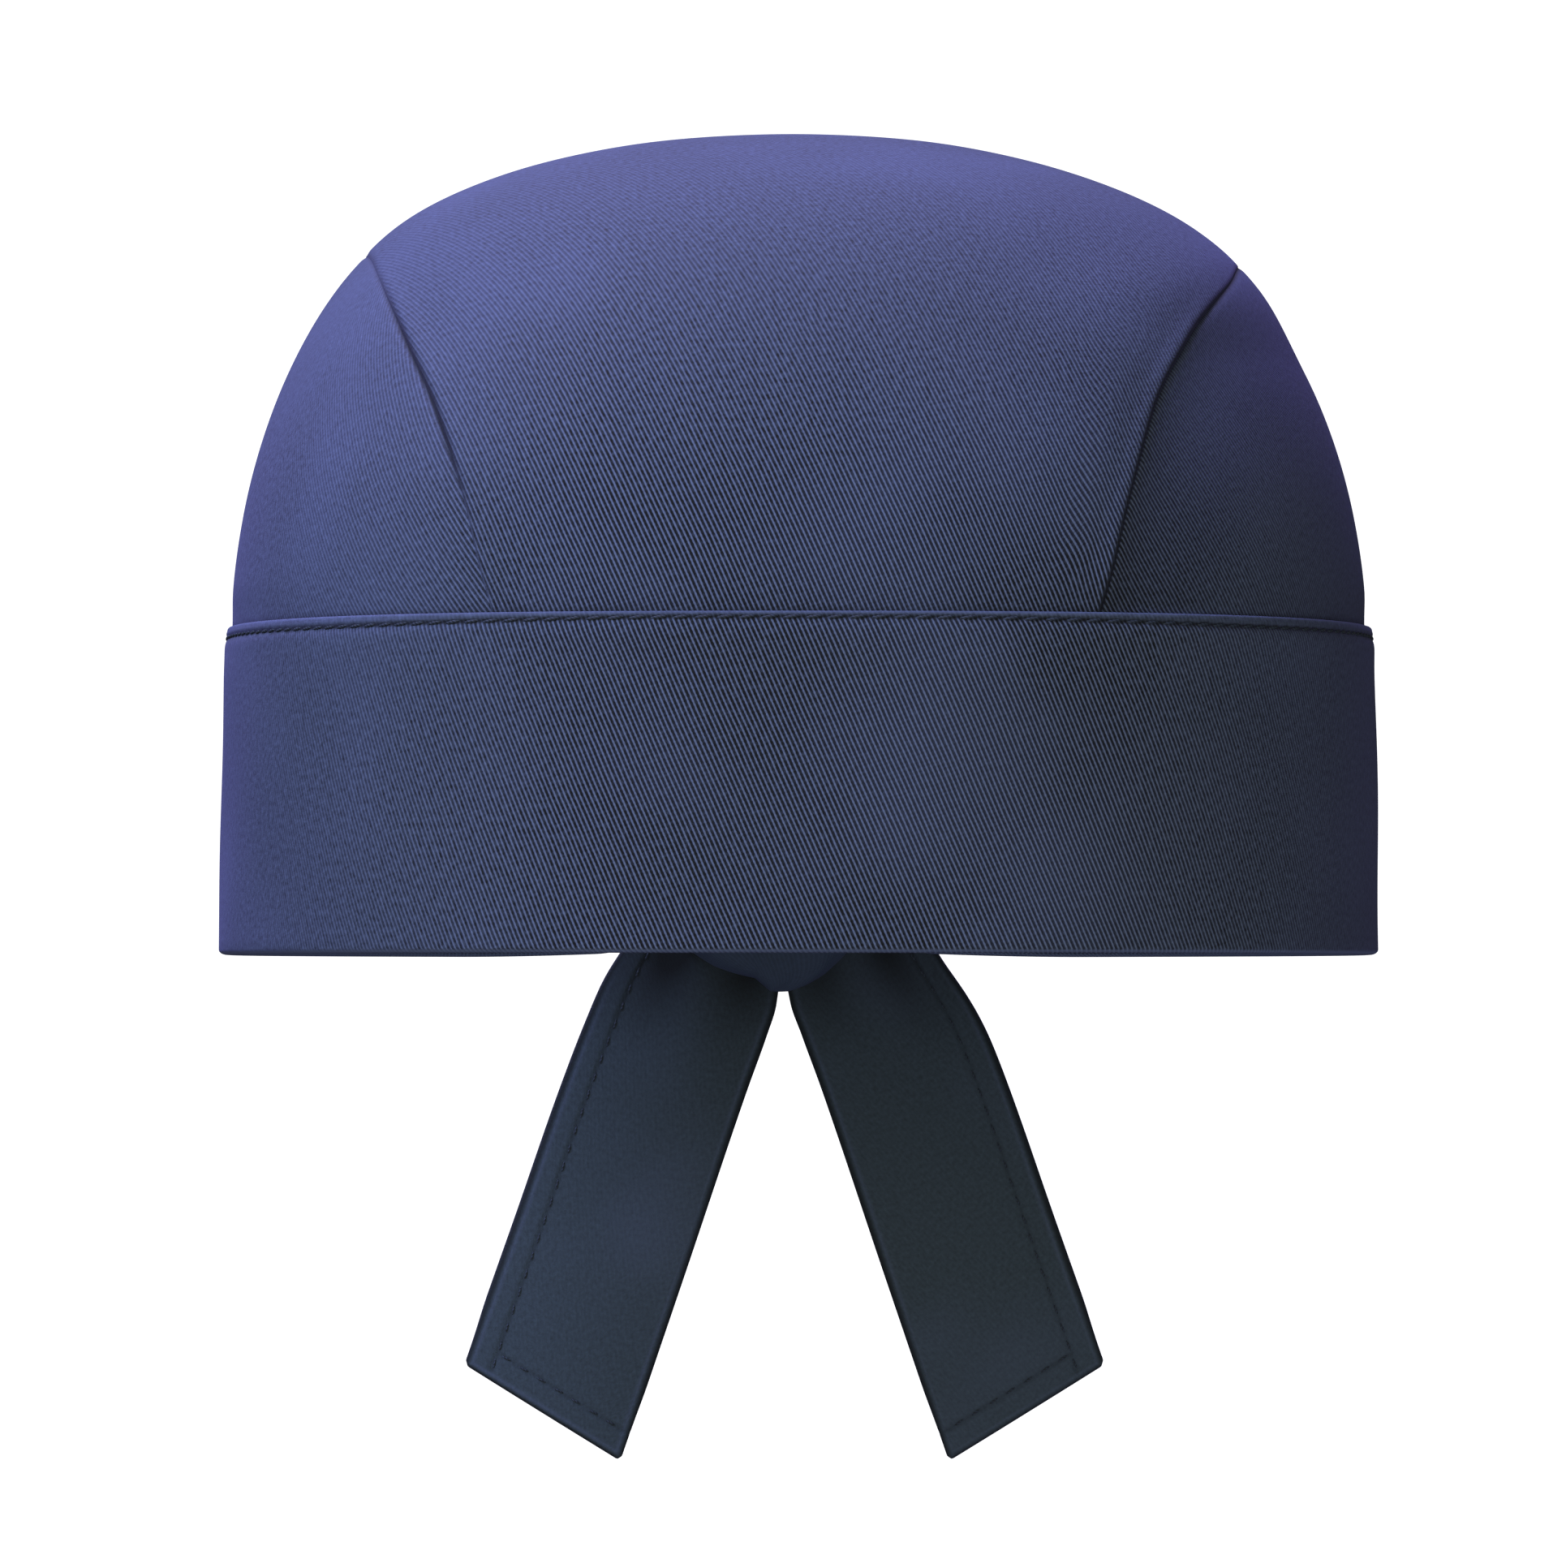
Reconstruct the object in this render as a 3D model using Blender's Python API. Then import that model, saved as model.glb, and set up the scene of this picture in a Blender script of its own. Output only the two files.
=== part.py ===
# Bandana cap of navy twill, as worn: a three-panel crown tucked into a turned-up band, whose ends are
# knotted at the back and hang as two ties. +Z is up, the front faces -Y, left and right are as seen from
# the front, and the origin is the centre of the head opening at the band's lower rim.

import math

import bmesh
import bpy
import numpy as np

# Driving sizes in millimetres
MM = 0.001
CAP_WIDTH = 176.0  # over the band at its lower rim, side to side
CAP_LENGTH = 202.0  # over the band at its lower rim, front to back, without the knot
CAP_HEIGHT = 125.1  # lower rim to the top of the crown
BAND_HEIGHT = 49.4  # front and sides
BAND_WALL = 2.5  # all the folded layers at the rim
LAP_WALL = 0.95  # the layers that stand outside the crown
BAND_LEAN = 0.6  # how far the band's top leans in
CROWN_WALL = 1.2
TUCK = 10.0  # how far the crown reaches down inside the band
GAP = 0.3  # clearance between neighbouring pieces
TIE_WIDTH = 28.0
TIE_DROP = 80.6  # lower rim down to the ties' points
TIE_WALL = 1.8
KNOT_WIDTH = 29.5
KNOT_HEIGHT = 29.6
KNOT_DROP = 5.5  # lower rim down to the knot's lowest fold
KNOT_DEPTH = 14.0
KNOT_WALL = 1.5  # cloth between the pieces that pass through the knot
KNOT_SIDE = -5.0  # the knot sits a little to the left
TIE_SPLIT = -2.1  # x of the line between the two ties
CROWN_LEAN = -1.65  # the crown's top leans to the left
CROWN_BACK = 5.0  # the crown's top lies behind the middle
RIDGE = 1.3  # height of the soft fold beside the right seam
SEAM_LIFT = 0.45  # the middle panel stands above the side panels along the seams
EDGE_ROUND = 0.35  # rounding of the band's upper edge
PLEAT = 0.7  # depth of the ties' pleats where they leave the knot
CUP = 0.9  # how far a tie's long edges curl back
HANG_IN = 2.5  # how far the ties' ends hang in under the knot

# Sizes that follow from them
rim_half = np.array([CAP_WIDTH, CAP_LENGTH]) / 2
crown_half = rim_half - BAND_LEAN - LAP_WALL - 1.5 * GAP
knot_front = crown_half[1] + 3 * GAP
knot_middle = knot_front + KNOT_DEPTH / 2
band_end_out = knot_front + KNOT_WALL + BAND_WALL
band_flare = band_end_out - rim_half[1]
tie_depth = band_end_out + GAP + KNOT_WALL + GAP + TIE_WALL / 2

# On the crown's round map of radius 1, where a step is about 1.5 half-widths of cloth
hair = GAP / 2 / (1.5 * crown_half[0])
FOLD_FROM_SEAM = 0.085
FOLD_SPREAD = 0.035
FOLD_MIDDLE = -0.42
FOLD_REACH = 0.30
LIFT_SPREAD = 0.05
SINK_SPREAD = 0.07
BAND_COVER = 0.90

# Crown from its top (ring 0) to its lower edge (ring 1): shares of the fall, the half-width and the
# half-length, the share of the sideways lean, and how square the plan is.
DOME = np.array(
    [
        # ring, fall, width, length, lean, square
        (0.000, 0.0000, 0.0000, 0.000, 1.00, 0.00),
        (0.143, 0.0141, 0.2346, 0.225, 1.00, 0.05),
        (0.267, 0.0517, 0.4355, 0.420, 1.00, 0.12),
        (0.378, 0.1105, 0.6063, 0.585, 0.75, 0.25),
        (0.450, 0.1680, 0.7120, 0.685, 0.45, 0.35),
        (0.504, 0.2268, 0.7770, 0.752, 0.15, 0.45),
        (0.590, 0.3420, 0.8618, 0.842, 0.00, 0.60),
        (0.705, 0.5170, 0.9384, 0.928, 0.00, 0.80),
        (0.813, 0.6910, 0.9814, 0.978, 0.00, 0.95),
        (0.919, 0.8650, 1.0000, 1.000, 0.00, 1.00),
        (1.000, 1.0000, 1.0000, 1.000, 0.00, 1.00),
    ]
)
# Seams on the crown's round map, from the front edge to the back edge
SEAMS = np.array(
    [
        # along, left, right
        (0.00, 0.460, 0.447),
        (0.06, 0.450, 0.442),
        (0.12, 0.441, 0.432),
        (0.18, 0.443, 0.428),
        (0.25, 0.455, 0.444),
        (0.38, 0.476, 0.490),
        (0.50, 0.494, 0.506),
        (0.70, 0.488, 0.492),
        (1.00, 0.420, 0.420),
    ]
)
# Band edges by the angle from the knot: shares of the band's height
BAND_EDGE = np.array(
    [
        # degrees, low, high
        (0.0, 0.090, 0.385),
        (8.0, 0.070, 0.420),
        (18.0, 0.010, 0.560),
        (34.0, 0.000, 0.740),
        (56.0, 0.000, 0.910),
        (80.0, 0.000, 1.000),
        (180.0, 0.000, 1.000),
    ]
)
# Edges of a tie from the knot to its slanted end: sideways in shares of its width from the line
# between the ties, and down in shares of the drop
TIE_EDGE = np.array(
    [
        # along, outer side, outer down, inner side, inner down
        (0.00, 0.340, -0.180, 0.115, -0.160),
        (0.06, 0.590, -0.137, 0.108, -0.100),
        (0.13, 0.771, -0.068, 0.090, -0.037),
        (0.20, 0.914, 0.004, 0.061, 0.030),
        (0.27, 1.029, 0.068, 0.057, 0.090),
        (0.35, 1.138, 0.145, 0.120, 0.158),
        (0.44, 1.248, 0.242, 0.229, 0.262),
        (0.72, 1.527, 0.520, 0.590, 0.632),
        (1.00, 1.810, 0.798, 0.950, 1.000),
    ]
)

SQUARE_FRONT = 2.55  # exponent of the band's plan at the front, where 2 is an ellipse
SQUARE_BACK = 2.15
SQUARE_KNOT = 2.7
TURN_START = 26.0  # degrees from the knot where the band starts to leave the head
TURN_SPAN = 18.0  # degrees over which it turns out to the knot
ROOT_SHARE = 0.45  # share of a tie that its pleats run down
BAND_STATIONS = 94
PANEL_ACROSS = 22
PANEL_ALONG = 38
SIDE_ACROSS = 9
SIDE_ALONG = 28
TIE_ACROSS = 8
TIE_ALONG = 22


def curve(at, table, column, flat_start=True):
    # Smooth line through a table's rows that never overshoots them
    xs, ys = table[:, 0], table[:, column]
    at = np.clip(at, xs[0], xs[-1])
    rise = np.diff(ys) / np.diff(xs)
    slope = np.zeros(len(xs))
    slope[0] = 0.0 if flat_start else rise[0]
    slope[-1] = rise[-1]
    both = rise[1:] * rise[:-1]
    slope[1:-1] = np.where(both > 0, 2 * both / np.where(both > 0, rise[1:] + rise[:-1], 1), 0)
    row = np.clip(np.searchsorted(xs, at, side="right") - 1, 0, len(xs) - 2)
    step = xs[row + 1] - xs[row]
    t = (at - xs[row]) / step
    start = ys[row] * (1 + 2 * t) + slope[row] * step * t
    end = ys[row + 1] * (3 - 2 * t) - slope[row + 1] * step * (1 - t)
    return start * (1 - t) ** 2 + end * t**2


def plan_reach(way, square):
    # Distance from the middle of a rounded plan of half-size 1, in direction way
    front = (1 - np.sin(way)) / 2
    power = 2 + square * (SQUARE_BACK + (SQUARE_FRONT - SQUARE_BACK) * front - 2)
    return (np.abs(np.cos(way)) ** power + np.abs(np.sin(way)) ** power) ** (-1 / power)


knot_way = math.pi / 2 + math.asin(-KNOT_SIDE / rim_half[0])


def from_knot(way):
    # Angle round the band away from the knot, in degrees
    turn = (way - knot_way + math.pi) % (2 * math.pi) - math.pi
    return np.degrees(np.abs(turn))


def band_low(way):
    return BAND_HEIGHT * curve(from_knot(way), BAND_EDGE, 1)


def band_high(way):
    return BAND_HEIGHT * curve(from_knot(way), BAND_EDGE, 2)


def crown_base(p, q):
    # Point of the crown's outer surface from its place on a round map of radius 1
    ring = np.hypot(p, q)
    way = np.arctan2(q, p)
    half_x = crown_half[0] * curve(ring, DOME, 2, flat_start=False)
    half_y = crown_half[1] * curve(ring, DOME, 3, flat_start=False)
    reach = plan_reach(way, curve(ring, DOME, 5))
    x = CROWN_LEAN * curve(ring, DOME, 4) + half_x * reach * np.cos(way)
    y = CROWN_BACK * (1 - np.clip(ring, 0, 1) ** 2) + half_y * reach * np.sin(way)
    z = CAP_HEIGHT - (CAP_HEIGHT - band_high(way) + TUCK) * curve(ring, DOME, 1)
    return np.stack([x, y, z], axis=-1)


def crown_normal(p, q):
    step = 1e-3
    along_p = crown_base(p + step, q) - crown_base(p - step, q)
    along_q = crown_base(p, q + step) - crown_base(p, q - step)
    normal = np.cross(along_p, along_q)
    return normal / np.linalg.norm(normal, axis=-1, keepdims=True)


def crown_point(p, q, lift, depth):
    # lift raises the cloth, and depth goes down into its wall
    return crown_base(p, q) + crown_normal(p, q) * (lift - depth)[..., None]


def bump(x, middle, spread):
    return np.exp(-(((x - middle) / spread) ** 2))


def seam_line(along, side, across=1.0):
    # Map point of a seam (side 1 is the left one, 2 the right one), or of a line across that far
    # towards it from the middle, at a share of the way from the crown's front edge to its back edge
    reach = across * curve(along, SEAMS, side)
    front, back = across * SEAMS[0, side], across * SEAMS[-1, side]
    return reach, -np.sqrt(1 - front**2) * (1 - along) + np.sqrt(1 - back**2) * along


def free_of_band(p, q):
    # 1 over the open crown, and 0 where the band covers it
    return np.clip((BAND_COVER - np.hypot(p, q)) / 0.12, 0, 1)


def middle_panel(depth):
    u, v = np.meshgrid(np.linspace(-1, 1, PANEL_ACROSS + 1), np.linspace(0, 1, PANEL_ALONG + 1))
    left, left_q = seam_line(v, 1, np.abs(u))
    right, right_q = seam_line(v, 2, np.abs(u))
    p = np.where(u < 0, hair * np.abs(u) - left, right - hair * np.abs(u))
    q = np.where(u < 0, left_q, right_q)
    seam_left, seam_right = curve(v, SEAMS, 1), curve(v, SEAMS, 2)
    seams = SEAM_LIFT * (bump(p, seam_right, LIFT_SPREAD) + bump(p, -seam_left, LIFT_SPREAD))
    fold = RIDGE * bump(p, seam_right - FOLD_FROM_SEAM, FOLD_SPREAD) * bump(q, FOLD_MIDDLE, FOLD_REACH)
    return crown_point(p, q, (seams + fold) * free_of_band(p, q), depth)


def side_panel(side, depth):
    w, v = np.meshgrid(np.linspace(0, 1, SIDE_ACROSS + 1), np.linspace(0, 1, SIDE_ALONG + 1))
    seam_p, seam_q = seam_line(v, side)
    seam_p = seam_p + hair
    front_way = math.atan2(seam_q[0, 0], seam_p[0, 0])
    back_way = math.atan2(seam_q[-1, 0], seam_p[-1, 0])
    edge_way = front_way + (back_way - front_way) * v
    past_edge = np.maximum(np.hypot(seam_p, seam_q), 1)
    seam_p, seam_q = seam_p / past_edge, seam_q / past_edge
    p = seam_p + (np.cos(edge_way) - seam_p) * w
    q = seam_q + (np.sin(edge_way) - seam_q) * w
    sink = -SEAM_LIFT * bump(p, seam_p, SINK_SPREAD) * free_of_band(p, q)
    outward = -1 if side == 1 else 1
    return crown_point(outward * p, q, sink, depth)


def band_turn(way):
    # 0 round the head, and 1 where the band has left it for the knot
    t = np.clip((TURN_START - from_knot(way)) / TURN_SPAN, 0, 1)
    return t * t * (3 - 2 * t)


def band_ring(first, last, count, grow, plain):
    # Sections of the band between two angles, and grown by grow on all sides
    along = np.linspace(0, 1, count)
    along = along - 0.2 * np.sin(2 * math.pi * along) / (2 * math.pi)
    way = first + (last - first) * along
    turn = band_turn(way)
    low = band_low(way) - grow
    top = band_high(way) + grow
    out = 0 * way - grow
    inner = 0 * way + BAND_WALL + grow
    lap = LAP_WALL + (BAND_WALL - LAP_WALL) * 0.93 * turn + grow
    fold = (inner - out) / 2
    step = top - TUCK - 3 * GAP
    near = 0.29 * fold
    tall = top - low - fold
    if plain:
        inside = [(inner, low + fold), (inner, top)]
    else:
        inside = [(inner, low + fold), (inner, step), (lap, step), (lap, top - EDGE_ROUND)]
        inside += [(lap - EDGE_ROUND, top)]
    outside = [(out + EDGE_ROUND, top), (out, top - EDGE_ROUND)]
    outside += [(out, low + fold + 0.6 * tall), (out, low + fold + 0.25 * tall), (out, low + fold)]
    under = [(out + near, low + near), (out + fold, low), (inner - near, low + near)]
    rows = []
    for inset, height in inside + outside + under:
        inset = inset + BAND_LEAN * np.clip(height, 0, None) / BAND_HEIGHT - band_flare * turn
        reach = plan_reach(way, 1.0)
        x = (rim_half[0] - inset) * reach * np.cos(way)
        y = (rim_half[1] - inset) * reach * np.sin(way)
        rows.append(np.stack([x, y, height + 0 * way], axis=-1))
    return np.stack(rows, axis=1)


def tie_grid(side, depth, grow):
    # side is -1 for the left tie and 1 for the right one
    along = np.linspace(0, 1, TIE_ALONG + 1) ** 1.3
    if grow > 0:
        along = np.append(-1.5 * grow / TIE_DROP, along[along < 0.5])
    u, v = np.meshgrid(np.linspace(0, 1, TIE_ACROSS + 1), along)
    outer_x = curve(v, TIE_EDGE, 1) * TIE_WIDTH + grow
    outer_z = (np.clip(-v, 0, None) - curve(v, TIE_EDGE, 2)) * TIE_DROP
    inner_x = curve(v, TIE_EDGE, 3) * TIE_WIDTH - grow
    inner_z = (np.clip(-v, 0, None) - curve(v, TIE_EDGE, 4)) * TIE_DROP
    x = inner_x + (outer_x - inner_x) * u
    z = inner_z + (outer_z - inner_z) * u
    down = np.clip(v, 0, 1)
    pleat = PLEAT * np.cos(3 * math.pi * u) * np.clip(1 - down / ROOT_SHARE, 0, 1) ** 2
    cup = CUP * (2 * u - 1) ** 2 * down
    y = tie_depth + pleat + cup - HANG_IN * down**2 + depth
    return np.stack([TIE_SPLIT + side * x, y, z], axis=-1)


def knot_grid():
    # Padded lump: folds of the wrapped band run slantwise round it
    turn, rise = np.meshgrid(np.linspace(0, 2 * math.pi, 33)[:-1], np.linspace(-1, 1, 19) * math.pi / 2)
    way = np.stack([np.cos(rise) * np.cos(turn), np.cos(rise) * np.sin(turn), np.sin(rise)], axis=-1)
    reach = (np.abs(way) ** SQUARE_KNOT).sum(axis=-1) ** (-1 / SQUARE_KNOT)
    reach = reach * (1 - 0.035 * (1 - np.cos(3 * turn + 3 * rise)) / 2 * np.cos(rise))
    half = np.array([KNOT_WIDTH, KNOT_DEPTH, KNOT_HEIGHT]) / 2
    middle = np.array([KNOT_SIDE, knot_middle, KNOT_HEIGHT / 2 - KNOT_DROP])
    return middle + half * way * reach[..., None]


def quads(rows, columns, wrap=False):
    # Faces of a grid of points, row after row, and joined round where wrap is set
    r, c = np.meshgrid(np.arange(rows - 1), np.arange(columns if wrap else columns - 1), indexing="ij")
    a = r * columns + c
    b = r * columns + (c + 1) % columns
    return np.stack([a, b, b + columns, a + columns], axis=-1).reshape(-1, 4).tolist()


def shell_faces(rows, columns):
    # Closed body between two grids of the same size: the outer one comes first
    count = rows * columns
    top = quads(rows, columns)
    under = [[a + count for a in face[::-1]] for face in top]
    first = list(range(columns))
    last = [(rows - 1) * columns + c for c in range(columns)]
    left = [r * columns for r in range(rows)]
    right = [r * columns + columns - 1 for r in range(rows)]
    walls = []
    for line, turn in ((first, 1), (last, -1), (left, -1), (right, 1)):
        for a, b in zip(line[:-1], line[1:]):
            wall = [a, b, b + count, a + count]
            walls.append(wall[::turn])
    return top + under + walls


def cloth_material(name, red, green, blue, rough):
    material = bpy.data.materials.new(name)
    material.use_nodes = True
    shader = material.node_tree.nodes["Principled BSDF"]
    shader.inputs["Base Color"].default_value = (red, green, blue, 1.0)
    shader.inputs["Roughness"].default_value = rough
    shader.inputs["Metallic"].default_value = 0.0
    material.diffuse_color = (red, green, blue, 1.0)
    return material


def solid(name, points, faces, colour=None):
    mesh = bpy.data.meshes.new(name)
    mesh.from_pydata((np.asarray(points).reshape(-1, 3) * MM).tolist(), [], faces)
    body = bpy.data.objects.new(name, mesh)
    bpy.context.scene.collection.objects.link(body)
    weld(mesh)
    mesh.shade_smooth()
    mesh.set_sharp_from_angle(angle=math.radians(42))
    if colour is None:
        body.hide_render = True
        body.display_type = "WIRE"
    else:
        mesh.materials.append(cloth_material(name + "_twill", *colour))
    return body


def weld(mesh):
    # Joins points that fall together where a panel runs out to a corner, and turns faces outward
    work = bmesh.new()
    work.from_mesh(mesh)
    bmesh.ops.remove_doubles(work, verts=work.verts[:], dist=1e-6)
    bmesh.ops.recalc_face_normals(work, faces=work.faces[:])
    work.to_mesh(mesh)
    work.free()


def shell(name, outer, inner, colour=None):
    rows, columns = outer.shape[:2]
    points = np.concatenate([outer.reshape(-1, 3), inner.reshape(-1, 3)])
    return solid(name, points, shell_faces(rows, columns), colour)


def strip(name, rings, colour=None):
    # Closed body from a row of closed sections
    count, size = rings.shape[:2]
    faces = quads(count, size, wrap=True)
    faces += [list(range(size))[::-1], [(count - 1) * size + k for k in range(size)]]
    return solid(name, rings.reshape(-1, 3), faces, colour)


def cut(body, tool):
    modifier = body.modifiers.new("clear_" + tool.name, "BOOLEAN")
    modifier.operation = "DIFFERENCE"
    modifier.solver = "EXACT"
    modifier.object = tool


for old in list(bpy.data.objects):
    bpy.data.objects.remove(old)

crown_cloth = (0.055, 0.072, 0.150, 0.85)
band_cloth = (0.050, 0.066, 0.135, 0.85)
tie_cloth = (0.042, 0.056, 0.105, 0.88)

shell("crown_panel", middle_panel(0), middle_panel(CROWN_WALL), crown_cloth)
shell("side_panel_left", side_panel(1, 0), side_panel(1, CROWN_WALL), crown_cloth)
shell("side_panel_right", side_panel(2, 0), side_panel(2, CROWN_WALL), crown_cloth)

# The band runs from its right end in the knot, past the front, to its left end in the knot.
band_end = math.asin(0.16 * KNOT_WIDTH / rim_half[0])
right_end = knot_way - band_end
left_end = knot_way - 2 * math.pi + band_end
strip("band", band_ring(right_end, left_end, BAND_STATIONS, 0.0, False), band_cloth)

shell("tie_left", tie_grid(-1, -TIE_WALL / 2, 0.0), tie_grid(-1, TIE_WALL / 2, 0.0), tie_cloth)
shell("tie_right", tie_grid(1, -TIE_WALL / 2, 0.0), tie_grid(1, TIE_WALL / 2, 0.0), tie_cloth)

# The knot is hollowed where the band's ends and the ties pass into it.
knot_points = knot_grid()
knot = strip("knot", knot_points, tie_cloth)
past_end = GAP / rim_half[0]
reach_out = math.asin(0.8 * KNOT_WIDTH / rim_half[0])
cut(knot, strip("band_right_room", band_ring(right_end + past_end, knot_way - reach_out, 8, GAP, True)))
cut(knot, strip("band_left_room", band_ring(left_end - past_end, left_end + reach_out, 8, GAP, True)))
for side, place in ((-1, "left"), (1, "right")):
    front = tie_grid(side, -TIE_WALL / 2 - GAP, GAP)
    back = tie_grid(side, TIE_WALL / 2 + GAP, GAP)
    cut(knot, shell("tie_" + place + "_room", front, back))
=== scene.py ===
import math

import bmesh
import bpy
import numpy as np
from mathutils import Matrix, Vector


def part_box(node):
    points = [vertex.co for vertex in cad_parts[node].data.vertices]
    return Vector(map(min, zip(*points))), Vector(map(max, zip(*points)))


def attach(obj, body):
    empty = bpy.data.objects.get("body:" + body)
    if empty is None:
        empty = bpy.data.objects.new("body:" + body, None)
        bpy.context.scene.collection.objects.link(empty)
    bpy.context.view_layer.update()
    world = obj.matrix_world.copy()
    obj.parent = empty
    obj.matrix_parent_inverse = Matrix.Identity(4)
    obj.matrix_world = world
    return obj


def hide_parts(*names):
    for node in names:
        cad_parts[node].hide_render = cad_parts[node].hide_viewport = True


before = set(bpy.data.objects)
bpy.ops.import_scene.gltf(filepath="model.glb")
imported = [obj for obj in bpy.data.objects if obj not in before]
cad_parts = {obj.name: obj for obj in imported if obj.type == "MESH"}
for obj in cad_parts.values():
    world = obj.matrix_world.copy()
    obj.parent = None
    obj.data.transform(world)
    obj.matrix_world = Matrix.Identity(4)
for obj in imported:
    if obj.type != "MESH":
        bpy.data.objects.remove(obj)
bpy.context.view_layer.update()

mm = 0.001

# Navy bandana cap. Sizes here are in millimetres: +Z is up, the front faces -Y, and the origin is the
# centre of the head opening. The tables are the CAD model's, with the ties' slanted ends set a little
# closer to the photograph, and the grids are finer.
bandLowest, bandHighest = [np.array(c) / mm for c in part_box("band")]
crownHighest = np.array(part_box("crown_panel")[1]) / mm
tieLowest = np.array(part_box("tie_left")[0]) / mm

cap = {
    "width": bandHighest[0] - bandLowest[0],
    "length": -2 * bandLowest[1],
    "height": crownHighest[2],
    "bandHeight": bandHighest[2] - bandLowest[2],
    "tieDrop": -tieLowest[2],
    "bandWall": 2.5,
    "lapWall": 0.95,
    "bandLean": 0.6,
    "leftLean": 0.35,  # the left side leans in a little more
    "crownWall": 1.2,
    "tuck": 10.0,
    "gap": 0.3,
    "crownLean": -1.65,
    "crownBack": 5.0,
    "squareFront": 2.55,
    "squareBack": 2.15,
    "knotAside": 5.0,  # the knot sits this far left of the middle
    "knotBack": 106.9,
}
rimHalf = np.array([cap["width"], cap["length"]]) / 2
crownHalf = rimHalf - cap["bandLean"] - cap["lapWall"] - 1.5 * cap["gap"]

# ring, fall, width, length, lean, square: the crown from its top to its lower edge
domeTable = np.array([
    (0.000, 0.0000, 0.0000, 0.000, 1.00, 0.00),
    (0.143, 0.0141, 0.2346, 0.225, 1.00, 0.05),
    (0.267, 0.0517, 0.4355, 0.420, 1.00, 0.12),
    (0.378, 0.1105, 0.6063, 0.585, 0.75, 0.25),
    (0.450, 0.1680, 0.7120, 0.685, 0.45, 0.35),
    (0.504, 0.2268, 0.7770, 0.752, 0.15, 0.45),
    (0.590, 0.3420, 0.8618, 0.842, 0.00, 0.60),
    (0.705, 0.5170, 0.9384, 0.928, 0.00, 0.80),
    (0.813, 0.6910, 0.9814, 0.978, 0.00, 0.95),
    (0.919, 0.8650, 1.0000, 1.000, 0.00, 1.00),
    (1.000, 1.0000, 1.0000, 1.000, 0.00, 1.00),
])
# along from front to back, left seam, right seam, on the crown's round map
seamTable = np.array([
    (0.00, 0.460, 0.447), (0.06, 0.450, 0.442), (0.12, 0.441, 0.432), (0.18, 0.443, 0.428),
    (0.25, 0.455, 0.444), (0.38, 0.476, 0.490), (0.50, 0.494, 0.506), (0.70, 0.488, 0.492),
    (1.00, 0.420, 0.420),
])
# degrees from the knot, lower edge, upper edge, as shares of the band's height
bandTable = np.array([
    (0, 0.090, 0.385), (8, 0.070, 0.420), (18, 0.010, 0.560), (34, 0.000, 0.740),
    (56, 0.000, 0.910), (80, 0.000, 1.000), (180, 0.000, 1.000),
])
# along a tie, outer edge sideways and down, inner edge sideways and down, in tie widths and drops
tieTable = np.array([
    (0.00, 0.340, -0.180, 0.115, -0.160), (0.06, 0.590, -0.137, 0.108, -0.100),
    (0.13, 0.771, -0.068, 0.080, -0.037), (0.20, 0.914, 0.004, 0.036, 0.030),
    (0.27, 1.029, 0.068, 0.056, 0.090), (0.35, 1.138, 0.145, 0.120, 0.158),
    (0.44, 1.248, 0.242, 0.229, 0.262), (0.72, 1.527, 0.520, 0.590, 0.632),
    (1.00, 1.824, 0.812, 0.950, 1.000),
])


def curve(at, table, column, flatStart=True):
    # Monotone cubic through a table's rows: each slope is the harmonic mean of the rises beside it
    xs, ys = table[:, 0], table[:, column]
    at = np.clip(at, xs[0], xs[-1])
    rise = np.diff(ys) / np.diff(xs)
    slope = np.zeros(len(xs))
    slope[0] = 0.0 if flatStart else rise[0]
    slope[-1] = rise[-1]
    both = rise[1:] * rise[:-1]
    total = np.where(both > 0, rise[1:] + rise[:-1], 1)
    slope[1:-1] = np.where(both > 0, 2 * both / total, 0)
    row = np.clip(np.searchsorted(xs, at, side="right") - 1, 0, len(xs) - 2)
    step = xs[row + 1] - xs[row]
    t = (at - xs[row]) / step
    start = ys[row] * (1 + 2 * t) + slope[row] * step * t
    end = ys[row + 1] * (3 - 2 * t) - slope[row + 1] * step * (1 - t)
    return start * (1 - t) ** 2 + end * t**2


def softened(table, column, flatStart=True, mirrored=1, spread=0.03):
    # The curve as a lookup, blurred along its length by a bell, so that light runs over it without
    # rings. Left of zero it is mirrored (1), or mirrored and negated (-1).
    fine = np.linspace(-0.2, 1.2, 1401)
    last, before = 1200, 1190  # places of 1.0 and 0.99
    values = curve(np.abs(fine), table, column, flatStart) * np.where(fine < 0, mirrored, 1)
    past = np.clip(fine - 1, 0, None)
    values = values + past * (values[last] - values[before]) / (fine[last] - fine[before])
    bell = np.exp(-0.5 * (np.linspace(-3, 3, int(6 * spread * 1000) | 1)) ** 2)
    padded = np.pad(values, len(bell) // 2, mode="reflect", reflect_type="odd")
    blurred = np.convolve(padded, bell / bell.sum(), mode="valid")
    return lambda at: np.interp(at, fine, blurred)


domeFall = softened(domeTable, 1)
domeWidth = softened(domeTable, 2, flatStart=False, mirrored=-1)
domeLength = softened(domeTable, 3, flatStart=False, mirrored=-1)
domeLean = softened(domeTable, 4)
domeSquare = softened(domeTable, 5)


def ease(x, start, end):
    # 0 before start, 1 after end, and a smooth S between
    t = np.clip((x - start) / (end - start), 0, 1)
    return t * t * (3 - 2 * t)


def bump(x, middle, spread):
    return np.exp(-(((x - middle) / spread) ** 2))


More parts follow.
